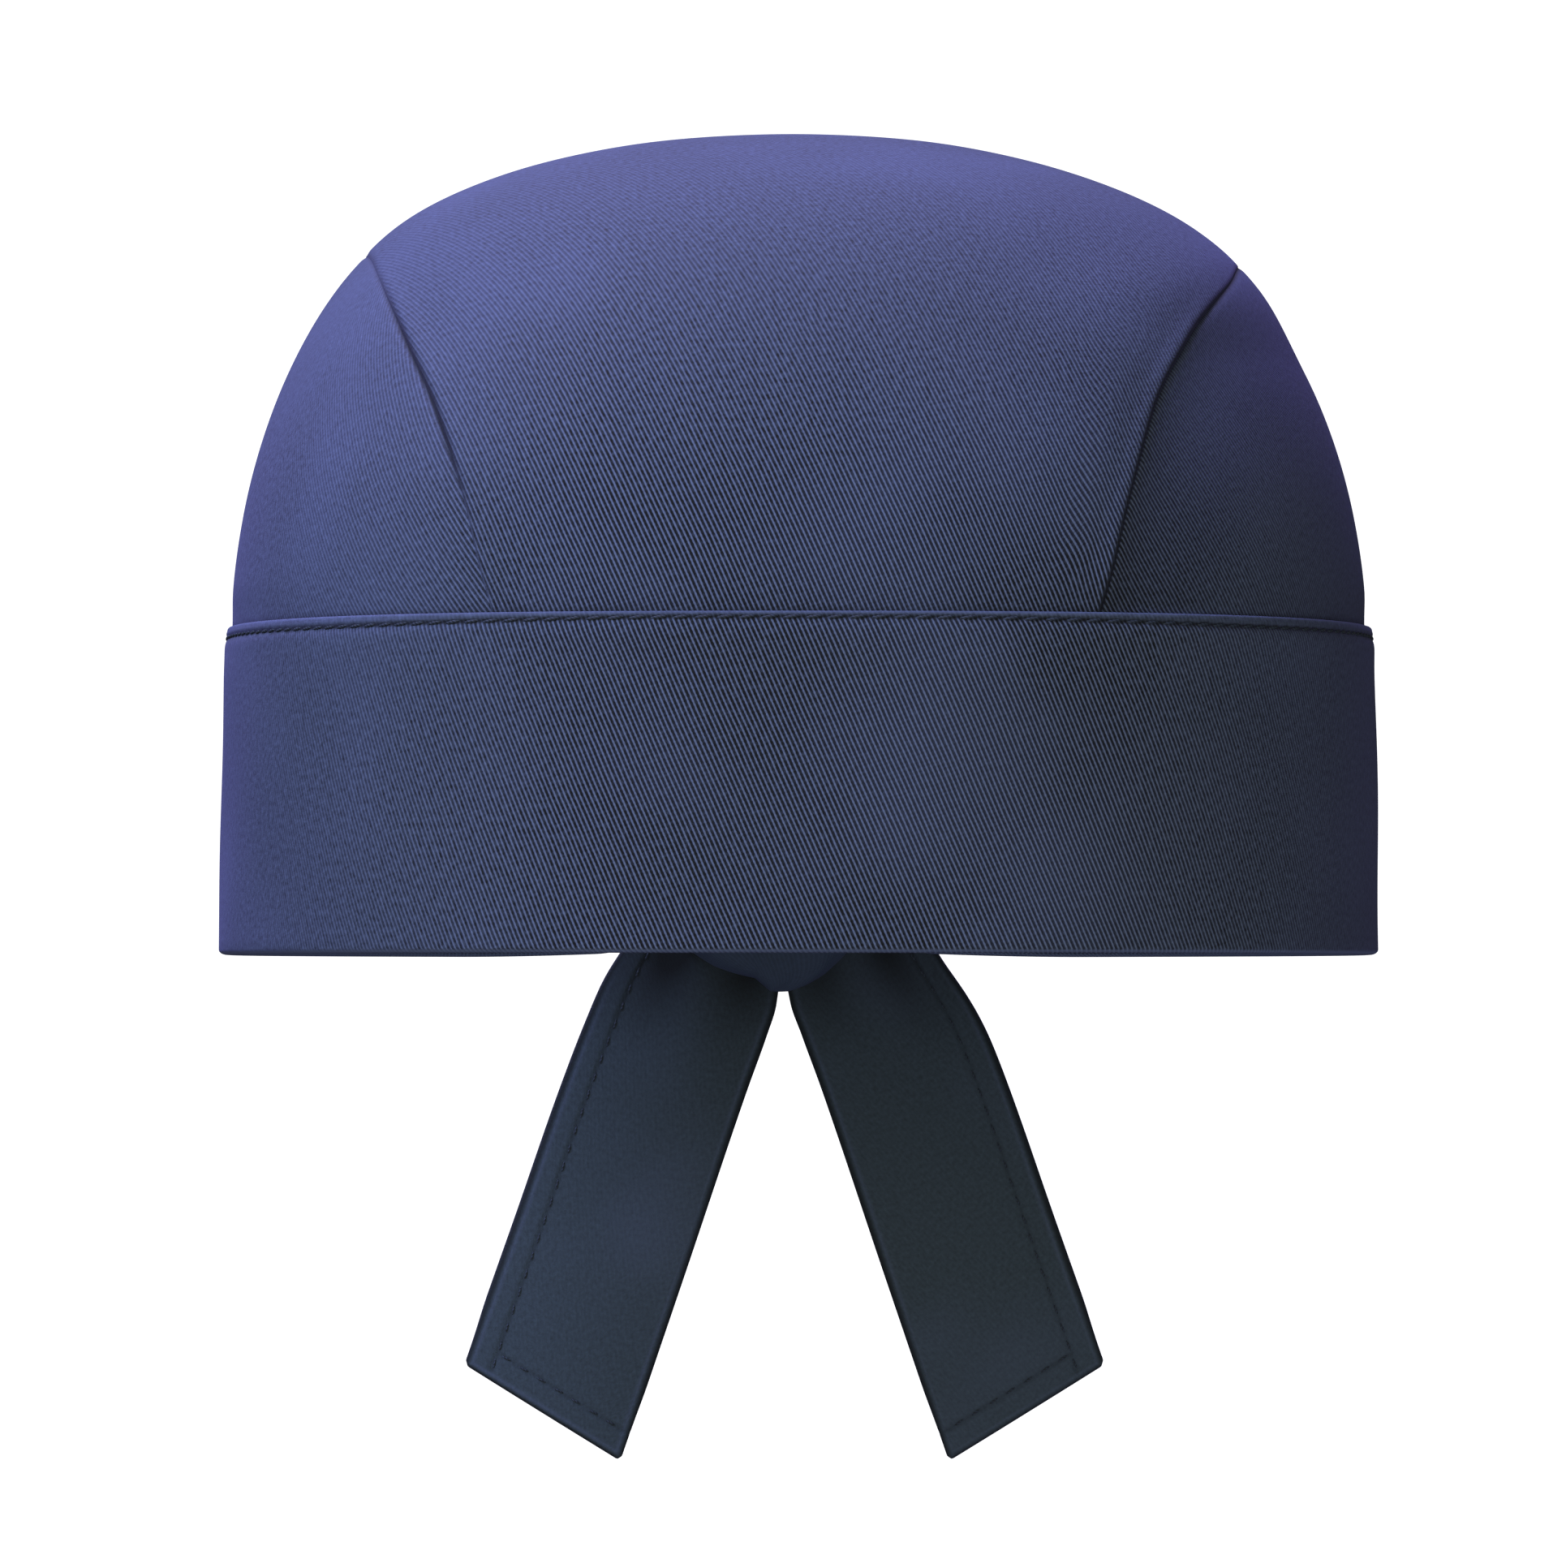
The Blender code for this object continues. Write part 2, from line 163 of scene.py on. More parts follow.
def planReach(way, square):
    # How far a superellipse reaches at an angle: cosine and sine to a power, summed, to minus one over
    # the power. It is rounder at the back than at the front.
    front = (1 - np.sin(way)) / 2
    power = 2 + square * (cap["squareBack"] + (cap["squareFront"] - cap["squareBack"]) * front - 2)
    return (np.abs(np.cos(way)) ** power + np.abs(np.sin(way)) ** power) ** (-1 / power)


knotWay = math.pi / 2 + math.asin(cap["knotAside"] / rimHalf[0])


def fromKnot(way):
    return np.degrees(np.abs((way - knotWay + math.pi) % (2 * math.pi) - math.pi))


def bandLow(way):
    return cap["bandHeight"] * curve(fromKnot(way), bandTable, 1)


def bandHigh(way):
    return cap["bandHeight"] * curve(fromKnot(way), bandTable, 2)


def crownBase(p, q):
    # Point of the crown over its place on a round map: rings fall and widen by the dome's curves
    ring = np.hypot(p, q)
    way = np.arctan2(q, p)
    reach = planReach(way, domeSquare(ring))
    x = cap["crownLean"] * domeLean(ring) + crownHalf[0] * domeWidth(ring) * reach * np.cos(way)
    y = cap["crownBack"] * (1 - np.clip(ring, 0, 1) ** 2)
    y = y + crownHalf[1] * domeLength(ring) * reach * np.sin(way)
    z = cap["height"] - (cap["height"] - bandHigh(way) + cap["tuck"]) * domeFall(ring)
    return np.stack([x, y, z], axis=-1)


def crownNormal(p, q):
    step = 2e-3
    alongP = crownBase(p + step, q) - crownBase(p - step, q)
    alongQ = crownBase(p, q + step) - crownBase(p, q - step)
    return unit(np.cross(alongP, alongQ))


def unit(vectors):
    return vectors / np.maximum(np.linalg.norm(vectors, axis=-1, keepdims=True), 1e-12)


def walked(points, axis, start=0):
    # Length walked over a grid of points along one axis, from one of its lines
    steps = np.linalg.norm(np.diff(points, axis=axis), axis=-1)
    length = np.insert(np.cumsum(steps, axis=axis), 0, 0, axis=axis)
    return length - np.take(length, [start], axis=axis)


def cutSize(points):
    # Size a panel was cut to, in metres: the longest ways over it, and its area
    across, along = walked(points, 1)[:, -1].max(), walked(points, 0)[-1].max()
    cells = np.cross(np.diff(points, axis=0)[:, :-1], np.diff(points, axis=1)[:-1])
    return (float(across) * mm, float(along) * mm), float(np.linalg.norm(cells, axis=-1).sum()) * mm**2


def gridNormals(points):
    return unit(np.cross(np.gradient(points, axis=1), np.gradient(points, axis=0)))


def wrapFaces(rows, columns):
    # Four-sided faces of a grid of points, each row of it joined round
    r, c = np.meshgrid(np.arange(rows - 1), np.arange(columns), indexing="ij")
    a, b = r * columns + c, r * columns + (c + 1) % columns
    return np.stack([a, b, b + columns, a + columns], axis=-1).reshape(-1, 4)


def cleaned(mesh, weld=0, fillHoles=False):
    # Joins points that fall together, closes open ends and turns the faces outward
    work = bmesh.new()
    work.from_mesh(mesh)
    if weld:
        bmesh.ops.remove_doubles(work, verts=work.verts[:], dist=weld)
    if fillHoles:
        bmesh.ops.holes_fill(work, edges=[e for e in work.edges if e.is_boundary])
    bmesh.ops.recalc_face_normals(work, faces=work.faces[:])
    work.to_mesh(mesh)
    work.free()


def addObject(name, data):
    added = bpy.data.objects.new(name, data)
    bpy.context.scene.collection.objects.link(added)
    return added


def makePiece(name, points, faces, uv, material, weld=2e-6, marks=None):
    # Puts whole arrays of points (mm), faces and cloth coordinates (mm) into a mesh. Marks, from 0 to 1,
    # say how much painted shade each point gets in a crease, seam or shadow, how flat its ribs are pressed,
    # and how much painted highlight lightens it.
    mesh = bpy.data.meshes.new(name)
    points, uv = np.asarray(points).reshape(-1, 3), np.asarray(uv).reshape(-1, 2)
    mesh.vertices.add(len(points))
    mesh.vertices.foreach_set("co", (points * mm).ravel())
    mesh.loops.add(faces.size)
    mesh.loops.foreach_set("vertex_index", faces.ravel())
    mesh.polygons.add(len(faces))
    mesh.polygons.foreach_set("loop_start", np.arange(len(faces)) * faces.shape[1])
    mesh.update(calc_edges=True)
    layer = mesh.uv_layers.new(name="weave")
    layer.data.foreach_set("uv", (uv[faces.ravel()] * mm).ravel())
    for mark in ("crease", "pressed", "worn"):
        value = np.asarray((marks or {}).get(mark, 0)).ravel() + np.zeros(len(points))
        mesh.attributes.new(mark, "FLOAT", "POINT").data.foreach_set("value", value)
    cleaned(mesh, weld)
    mesh.shade_smooth()
    mesh.materials.append(material)
    return addObject(name, mesh)


def rolledEdge(outer, inner, sideways, width, count):
    # Half an ellipse from an outer edge point round to the inner one
    turn = (np.arange(count)[:, None] + 1) / (count + 1) * math.pi
    middle, half = (outer + inner) / 2, (outer - inner) / 2
    away = sideways[:, None, :] * width * np.sin(turn)
    return middle[:, None, :] + half[:, None, :] * np.cos(turn) + away


def clothShell(name, outer, inner, uv, rolls, material, crease, worn=0, rollCount=6):
    # Cloth panel as one closed wall: outer face, rolled edge, inner face, rolled edge. Every row is a
    # closed loop that starts in the middle of its first rolled edge, and the two ends are laced shut.
    half = rollCount // 2
    firstWay = unit(outer[:, 0] - outer[:, 1])
    lastWay = unit(outer[:, -1] - outer[:, -2])
    first = rolledEdge(outer[:, 0], inner[:, 0], firstWay, rolls[0], rollCount)
    last = rolledEdge(outer[:, -1], inner[:, -1], lastWay, rolls[1], rollCount)
    parts = [first[:, :half][:, ::-1], outer, last, inner[:, ::-1], first[:, half:][:, ::-1]]
    points = np.concatenate(parts, axis=1)

    def looped(values, inside):
        firstOnes = np.repeat(values[:, :1], half, axis=1)
        lastOnes = np.repeat(values[:, -1:], rollCount, axis=1)
        return np.concatenate([firstOnes, values, lastOnes, inside * values[:, ::-1], firstOnes], axis=1)

    # The ribs stop at a rolled edge, so that none of them colours a whole length of it
    atEdge = 0 * crease
    atEdge[:, [0, -1]] = 1
    marks = {
        "crease": looped(crease, 0),
        "worn": looped(worn + 0 * crease, 0),
        "pressed": looped(atEdge, 1),
    }
    rows, size = points.shape[:2]
    k = np.arange(size // 2 - 1)
    lace = np.stack([k, k + 1, size - 2 - k, size - 1 - k], axis=-1)
    faces = np.concatenate([wrapFaces(rows, size), lace[:, ::-1], lace + (rows - 1) * size])
    return makePiece(name, points, faces, looped(uv, 1), material, marks=marks)


def stitchRow(name, path, normals, look, material):
    # Thread along a path: small capsules, a stitch pitch apart, pressed into the cloth and turned a
    # little. Each is seven rings of eight points, with three faces on either end.
    spacing = np.linalg.norm(np.diff(path, axis=0), axis=-1)
    along = np.insert(np.cumsum(spacing), 0, 0)
    count = int(along[-1] / look["pitch"])
    places = (np.arange(count) + 0.5) * along[-1] / count

    def read(values):
        return np.stack([np.interp(places, along, values[:, k]) for k in range(3)], axis=-1)

    centre, up = read(path), unit(read(normals))
    ahead = unit(read(np.gradient(path, axis=0)))
    side = unit(np.cross(up, ahead))
    slant = math.radians(look["slant"])
    turned = ahead * math.cos(slant) + side * math.sin(slant)
    side = side * math.cos(slant) - ahead * math.sin(slant)
    reach = np.array([-1, -0.86, -0.45, 0, 0.45, 0.86, 1]) * look["length"] / 2
    thick = np.array([0.02, 0.62, 0.95, 1, 0.95, 0.62, 0.02]) * look["thick"] / 2
    rings, sides = len(reach), 8
    turn = np.arange(sides) / sides * 2 * math.pi
    sag = -look["sink"] * (np.abs(reach) / reach[-1]) ** 3
    local = np.stack([
        np.broadcast_to(reach[:, None], (rings, sides)),
        thick[:, None] * np.cos(turn),
        thick[:, None] * np.sin(turn) + sag[:, None],
    ], axis=-1).reshape(-1, 3)
    frames = np.stack([turned, side, up], axis=1)
    points = centre[:, None, :] + np.einsum("vk,nkx->nvx", local, frames)
    offsets = (np.arange(count) * rings * sides)[:, None, None]
    faces = (wrapFaces(rings, sides) + offsets).reshape(-1, 4)
    firstEnd = np.array([[3, 2, 1, 0], [7, 6, 5, 4], [0, 7, 4, 3]])
    bothEnds = np.concatenate([firstEnd, firstEnd[:, ::-1] + (rings - 1) * sides])
    caps = (bothEnds + offsets).reshape(-1, 4)
    uv = np.broadcast_to(local[None, :, :2], points.shape[:2] + (2,)) + places[:, None, None]
    return makePiece(name, points, np.concatenate([faces, caps]), uv, material, weld=0)


def linear(hexColour):
    # sRGB hex to the linear colour that a shader wants
    parts = [int(hexColour[k:k + 2], 16) / 255 for k in (0, 2, 4)]
    return [c / 12.92 if c <= 0.04045 else ((c + 0.055) / 1.055) ** 2.4 for c in parts] + [1.0]


def setInputs(tree, node, inputs):
    # An input is a value, or another node's output to link
    for key, value in inputs.items():
        if isinstance(value, bpy.types.NodeSocket):
            tree.links.new(value, node.inputs[key])
        else:
            node.inputs[key].default_value = value


def addNode(tree, kind, settings=None, inputs=None):
    node = tree.nodes.new(kind)
    for key, value in (settings or {}).items():
        setattr(node, key, value)
    setInputs(tree, node, inputs or {})
    return node


def newMaterial(name):
    material = bpy.data.materials.new(name)
    material.use_nodes = True
    return material, material.node_tree, material.node_tree.nodes["Principled BSDF"]


def twill(name, look):
    # Polycotton twill, woven 2/1 and piece dyed: steep ribs that run down to the right, each one broken
    # into short floats, with a brushed, slightly speckled face that catches light at grazing angles
    material, tree, shader = newMaterial(name)
    cloth = addNode(tree, "ShaderNodeUVMap", {"uv_map": "weave"}).outputs["UV"]
    place = addNode(tree, "ShaderNodeTexCoord").outputs["Object"]

    def maths(operation, first, second=0.0, third=0.0, clamp=False):
        settings = {"operation": operation, "use_clamp": clamp}
        return addNode(tree, "ShaderNodeMath", settings, {0: first, 1: second, 2: third}).outputs[0]

    def noise(vector, size, detail, rough=0.5):
        inputs = {"Vector": vector, "Scale": 1 / (size * mm), "Detail": detail, "Roughness": rough}
        return addNode(tree, "ShaderNodeTexNoise", {}, inputs).outputs["Fac"]

    def ranged(value, low, high, toLow, toHigh, smooth=False):
        settings = {"interpolation_type": "SMOOTHSTEP" if smooth else "LINEAR"}
        inputs = {"Value": value, 1: low, 2: high, 3: toLow, 4: toHigh}
        return addNode(tree, "ShaderNodeMapRange", settings, inputs).outputs[0]

    def wave(angle, pitch, shift):
        # Sine over the cloth with its lines at an angle to the level, and a shift in turns
        steep = math.radians(angle)
        across = (math.sin(steep) / (pitch * mm), math.cos(steep) / (pitch * mm), 0)
        dot = addNode(tree, "ShaderNodeVectorMath", {"operation": "DOT_PRODUCT"}, {0: cloth, 1: across})
        turns = maths("ADD", dot.outputs["Value"], shift)
        return maths("SINE", maths("MULTIPLY", turns, 2 * math.pi))

    drift = maths("MULTIPLY_ADD", noise(cloth, look["driftSize"], 2), look["drift"], -look["drift"] / 2)
    ribs = wave(look["angle"], look["pitch"], drift)
    floats = wave(look["angle"] - look["floatTurn"], look["pitch"] * look["floatShort"], drift)
    speckle = noise(cloth, look["speckleSize"], 2, 0.6)
    fuzz = noise(cloth, look["fuzzSize"], 2, 0.6)
    patches = noise(place, look["patchSize"], 2)
    # The ribs' dark grooves are partly painted shade, so they are faded towards the sides and over the top,
    # where the light falls flat on the cloth
    split = addNode(tree, "ShaderNodeSeparateXYZ", {}, {0: place})
    left = ranged(split.outputs["X"], *(x * mm for x in look["leftFade"]), look["leftRibs"], 1.0)
    right = ranged(split.outputs["X"], *(x * mm for x in look["rightFade"]), 1.0, look["rightRibs"])
    over = ranged(split.outputs["Z"], *(z * mm for z in look["topFade"]), 1.0, look["topRibs"])
    patchy = ranged(patches, 0.35, 0.65, look["patchRibs"], 1.0)
    show = maths("MULTIPLY", maths("MULTIPLY", left, right), maths("MULTIPLY", over, patchy))
    pressed = addNode(tree, "ShaderNodeAttribute", {"attribute_name": "pressed"}).outputs["Fac"]
    show = maths("MULTIPLY", maths("MULTIPLY", show, look["ribShow"]), maths("SUBTRACT", 1.0, pressed))
    woven = maths("MULTIPLY_ADD", floats, look["floats"], ribs)
    weave = maths("MULTIPLY", woven, show)
    # Ribs with steep sides and dark grooves between them, the grooves' darkness partly the twill's own
    # colour and partly painted shade, then faded evenly to the cloth's mean shade
    steep, middle = 0.5 * look["ribContrast"], 0.5 - 0.5 * look["ribContrast"] * look["ribNarrow"]
    sharp = maths("MULTIPLY_ADD", woven, steep, middle, clamp=True)
    shade = maths("MULTIPLY_ADD", maths("SUBTRACT", sharp, look["level"]), show, look["level"])
    shade = maths("MULTIPLY_ADD", maths("SUBTRACT", speckle, 0.5), look["speckle"], shade, clamp=True)
    colour = addNode(tree, "ShaderNodeMix", {"data_type": "RGBA"}, {
        "Factor": shade, 6: linear(look["groove"]), 7: linear(look["rib"])})
    # Lighter in random patches, and a painted highlight where the points are marked for it: the band's rim
    # and lower fold, and a line just inside the ties' edges
    edges = addNode(tree, "ShaderNodeAttribute", {"attribute_name": "worn"}).outputs["Fac"]
    worn = addNode(tree, "ShaderNodeMix", {"data_type": "RGBA"}, {
        "Factor": maths("MAXIMUM", ranged(patches, 0.42, 0.75, 0.0, look["patchWorn"], True), edges),
        6: colour.outputs[2], 7: linear(look["worn"])})
    # Painted shade: the crease mark darkens the colour towards a near-black down in seams, where the cloth
    # is doubled over, under the band's rim, beside the right seam's fold, along stitch lines and at the ties'
    # roots and edges
    deep = addNode(tree, "ShaderNodeAttribute", {"attribute_name": "crease"}).outputs["Fac"]
    shaded = addNode(tree, "ShaderNodeMix", {"data_type": "RGBA"}, {
        "Factor": maths("MULTIPLY", deep, look["paintedShadeStrength"]), 6: worn.outputs[2], 7: linear(look["deep"])})
    raised = maths("MULTIPLY", weave, look["relief"])
    height = maths("MULTIPLY_ADD", maths("ADD", speckle, fuzz), look["fuzz"], raised)
    relief = addNode(tree, "ShaderNodeBump", {}, {"Height": height, "Strength": 1.0, "Distance": mm})
    rough, spread = look["rough"], look["roughSpread"]
    setInputs(tree, shader, {
        "Base Color": shaded.outputs[2], "Normal": relief.outputs["Normal"],
        "Roughness": ranged(speckle, 0.2, 0.8, rough - spread, rough + spread),
        "IOR": look["ior"], "Specular IOR Level": look["gloss"],
        "Sheen Weight": look["sheen"], "Sheen Roughness": look["sheenRough"],
        "Sheen Tint": linear(look["sheenTint"]),
    })
    return material


# Pitch and sizes are millimetres, angles degrees; a fade is where along X or Z the ribs die away
twillLook = {
    "angle": 66, "pitch": 0.69, "drift": 0.5, "driftSize": 14, "ribContrast": 3.2, "ribNarrow": 0.25,
    "ribShow": 1.0, "level": 0.42, "floats": 0.12, "floatTurn": 82, "floatShort": 0.9,
    "leftRibs": 0.08, "leftFade": (-84, -30), "rightRibs": 0.2, "rightFade": (44, 86),
    "topRibs": 0.14, "topFade": (64, 118), "patchSize": 38, "patchRibs": 0.92, "patchWorn": 0.16,
    "speckle": 0.85, "speckleSize": 0.9, "relief": 0.08, "fuzz": 0.05, "fuzzSize": 0.35,
    # deep is the near-black that painted shade darkens to; the last colour lightens random patches and paints
    # highlight
    "paintedShadeStrength": 0.9, "deep": "090c13", "groove": "0b0e15", "rib": "546082", "worn": "55608a",
    "rough": 0.86, "roughSpread": 0.06, "ior": 1.46, "gloss": 0.25,
    "sheen": 0.08, "sheenRough": 0.45, "sheenTint": "8f86ff",
}
crownTwill = twill("navyPolycottonTwillCrown", twillLook)
bandTwill = twill("navyPolycottonTwillBand", twillLook)
# The ties and the knot are the band's own cloth; their darker colours here are painted shade, shaded copies
# of the same twill
tieShadedLook = {
    "ribShow": 0.06, "level": 0.5, "speckle": 0.9, "speckleSize": 0.7, "groove": "1c2430", "rib": "3c495b",
    "sheen": 0.05,
}
knotShadedLook = {
    "ribShow": 0.12, "level": 0.5, "speckle": 0.4, "groove": "1e2637", "rib": "3e4a67", "sheen": 0.05,
}
tieTwillShaded = twill("navyPolycottonTwillTiesShaded", {**twillLook, **tieShadedLook})
knotTwillShaded = twill("navyPolycottonTwillKnotShaded", {**twillLook, **knotShadedLook})


def thread(name, look):
    # Spun polyester sewing thread, plied: fine slanting plies and a dull sheen
    material, tree, shader = newMaterial(name)
    cloth = addNode(tree, "ShaderNodeUVMap", {"uv_map": "weave"}).outputs["UV"]
    across = (look["plies"], look["plies"], 0)
    ply = addNode(tree, "ShaderNodeVectorMath", {"operation": "DOT_PRODUCT"}, {0: cloth, 1: across})
    angle = addNode(tree, "ShaderNodeMath", {"operation": "MULTIPLY"}, {
        0: ply.outputs["Value"], 1: look["plyTurn"]})
    turns = addNode(tree, "ShaderNodeMath", {"operation": "SINE"}, {0: angle.outputs[0]})
    fac = addNode(tree, "ShaderNodeMapRange", {}, {"Value": turns.outputs[0], 1: -1.0, 2: 1.0})
    colour = addNode(tree, "ShaderNodeMix", {"data_type": "RGBA"}, {
        "Factor": fac.outputs[0], 6: linear(look["dark"]), 7: linear(look["light"])})
    relief = addNode(tree, "ShaderNodeBump", {}, {
        "Height": turns.outputs[0], "Strength": 0.6, "Distance": look["relief"] * mm})
    setInputs(tree, shader, {
        "Base Color": colour.outputs[2], "Normal": relief.outputs["Normal"],
        "Roughness": look["rough"], "Specular IOR Level": look["gloss"],
    })
    return material


threadLook = {
    "dark": "171d2b", "light": "2c354b", "rough": 0.7, "gloss": 0.3, "relief": 0.04,
    "plies": 1600, "plyTurn": 6.283,  # plies in a metre, along and across
}
navyThread = thread("navyPolyesterThread", threadLook)

# Crown: the middle panel laps over the right side panel with a soft fold beside its rolled edge, and on
# the left the two meet in a line that closes towards the band
crown = {
    "across": 190, "along": 236, "sideAcross": 96, "sideAlong": 200, "wave": 0.22,
    "overlap": 0.4, "edgeLift": 0.3, "edgeSpread": 1.7, "ribBend": 2.6,
    "ridgeTop": 0.78, "ridgeLow": 0.42, "ridgeFarTop": 9.4, "ridgeFarLow": 5.8, "ridgeLeft": 11.0,
    "fall": 0.9, "fallFar": 9.0, "seamDeep": 0.75, "seamWide": 1.0, "foldShade": 0.28,
    "seamGap": 0.15, "leftLap": 0.6, "leftLift": 0.35, "leftLiftAt": 1.0, "leftLiftSpread": 2.4,
    "leftDeep": 0.45, "leftWide": 0.7, "leftDip": 0.12, "leftDipSpread": 4.0,
    "rimShade": 0.75, "rimShadeSpread": 0.7,
    "rollLeft": 0.35, "rollRight": 0.5, "rollUnder": 0.3, "rollHidden": 0.1,
    "leftTurn": 16, "rightTurn": 6.4,  # degrees by which the side panels are cut off the grain
}
perMap = 1.5 * crownHalf[0]  # millimetres for one unit of the round map, over most of the crown


def seamLine(along, side, across=1.0):
    reach = across * curve(along, seamTable, side)
    front, back = across * seamTable[0, side], across * seamTable[-1, side]
    return reach, -np.sqrt(1 - front**2) * (1 - along) + np.sqrt(1 - back**2) * along


def clearOfBand(points, way):
    # 1 over the open crown, and 0 where the band covers it: for what stands out, and for what is sunk
    above = points[..., 2] - bandHigh(way)
    return ease(above, 0.5, 6.0), ease(above, -1.0, 0.6)


def underRim(points, way):
    # Painted shade: the dark line where the crown goes down behind the band's rim
    return crown["rimShade"] * bump(points[..., 2] - bandHigh(way), -0.3, crown["rimShadeSpread"])


def slackness(p, q):
    # Slow swells of cloth over a head: a few sines over the map
    return (np.sin(5.1 * p + 2.3 * q + 0.4) * np.sin(4.2 * q - 1.9 * p + 1.1)
            + 0.5 * np.sin(9.3 * q + 3.1 * p) * np.sin(7.7 * p - 2.2 * q + 0.8))


def seamShow(z):
    # The left seam's line is clear above, fainter over the top and nearly closed towards the band
    return (0.15 + 0.85 * ease(z, 58, 76)) * (1 - 0.5 * ease(z, 90, 103))


def middlePanel():
    # Each row of the round map is shared out from seam to seam, and then lifted along the crown's normal
    s, v = np.meshgrid(np.linspace(-1, 1, crown["across"]), np.linspace(0, 1, crown["along"]))
    u = 0.35 * s + 0.65 * np.sin(s * math.pi / 2)
    left, leftQ = seamLine(v, 1, np.abs(u))
    right, rightQ = seamLine(v, 2, np.abs(u))
    over = crown["overlap"] / perMap
    # On the left a gap stays open above, and towards the band this edge laps over a little
    closed = 1 - seamShow(crownBase(-left, leftQ)[..., 2])
    lap = (crown["leftLap"] * closed - crown["seamGap"]) / perMap
    p = np.where(u < 0, -left - lap * np.abs(u), right + over * np.abs(u))
    q = np.where(u < 0, leftQ, rightQ)
    base = crownBase(p, q)
    normal = crownNormal(p, q)
    way = np.arctan2(q, p)
    clear, clearLow = clearOfBand(base, way)
    fromRight = -walked(base, 1, -1) - crown["overlap"]
    fromLeft = walked(base, 1, 0)
    z = base[..., 2]
    front = ease(-q, -0.15, 0.15)
    nearTop = ease(z, 90, 103)
    # The fold: a soft crest some millimetres from the right seam, falling ever steeper to it
    high = ease(z, 56, 100)
    ridgeFar = crown["ridgeFarLow"] + (crown["ridgeFarTop"] - crown["ridgeFarLow"]) * high
    crest = crown["ridgeLow"] + (crown["ridgeTop"] - crown["ridgeLow"]) * high
    beyond = np.clip(1 - fromRight / ridgeFar, 0, 1.1)
    fold = np.where(fromRight > ridgeFar, bump(fromRight, ridgeFar, crown["ridgeLeft"]), 1 - beyond**2)
    ridgeShow = ease(z, 54, 74) * (1 - ease(z, 96, 110)) * front
    ridge = crest * fold * ridgeShow
    edge = crown["edgeLift"] * bump(np.clip(fromRight, 0, None), 0, crown["edgeSpread"]) * (1 - nearTop)
    leftEdge = crown["leftLift"] * bump(fromLeft, crown["leftLiftAt"], crown["leftLiftSpread"])
    leftEdge = leftEdge * (1 - nearTop)
    seam = crown["leftDeep"] * bump(fromLeft, 0, crown["leftWide"]) * seamShow(z)
    lift = (ridge + edge + leftEdge + crown["wave"] * slackness(p, q)) * clear - seam * clearLow
    outer = base + normal * lift[..., None]
    inner = base + normal * (lift - cap["crownWall"])[..., None]
    # The ribs lie flatter where they pass over the fold
    bent = crown["ribBend"] * (1 - ease(fromRight, ridgeFar - 2.5, ridgeFar + 3.5)) * ease(z, 50, 60) * front
    # Measured up from the front edge, and from the back edge once over the top
    fromFront, fromBack = walked(base, 0), -walked(base, 0, -1)
    total = fromFront[-1, crown["across"] // 2]
    overTop = ease(q, -0.1, 0.6)
    up = fromFront * (1 - overTop) + (total - fromBack) * overTop
    uv = np.stack([walked(base, 1, crown["across"] // 2), up - bent], axis=-1)
    # Painted shade: dark lines down both seams and under the band's rim
    crease = np.maximum(bump(fromLeft, 0, 0.5) * seamShow(z), bump(fromRight, -crown["overlap"], 0.4))
    crease = np.maximum(crease, underRim(base, way))
    rolls = (crown["rollLeft"], crown["rollRight"])
    return clothShell("crownPanel", outer, inner, uv, rolls, crownTwill, crease), cutSize(outer)


# Lengths round the crown's lower edge and down its side, which the side panels' grain is laid by
rimWays = np.linspace(-math.pi, math.pi, 721)
rimReach = planReach(rimWays, 1.0)
rimLine = crownHalf * rimReach[:, None] * np.stack([np.cos(rimWays), np.sin(rimWays)], axis=-1)
rimLength = np.insert(np.cumsum(np.linalg.norm(np.diff(rimLine, axis=0), axis=-1)), 0, 0)
sideRings = np.linspace(0, 1, 401)
sideFall = domeFall(sideRings) * (cap["height"] - cap["bandHeight"] + cap["tuck"])
sideStep = np.hypot(np.diff(sideFall), np.diff(domeWidth(sideRings) * crownHalf[0]))
sideLength = np.insert(np.cumsum(sideStep), 0, 0)


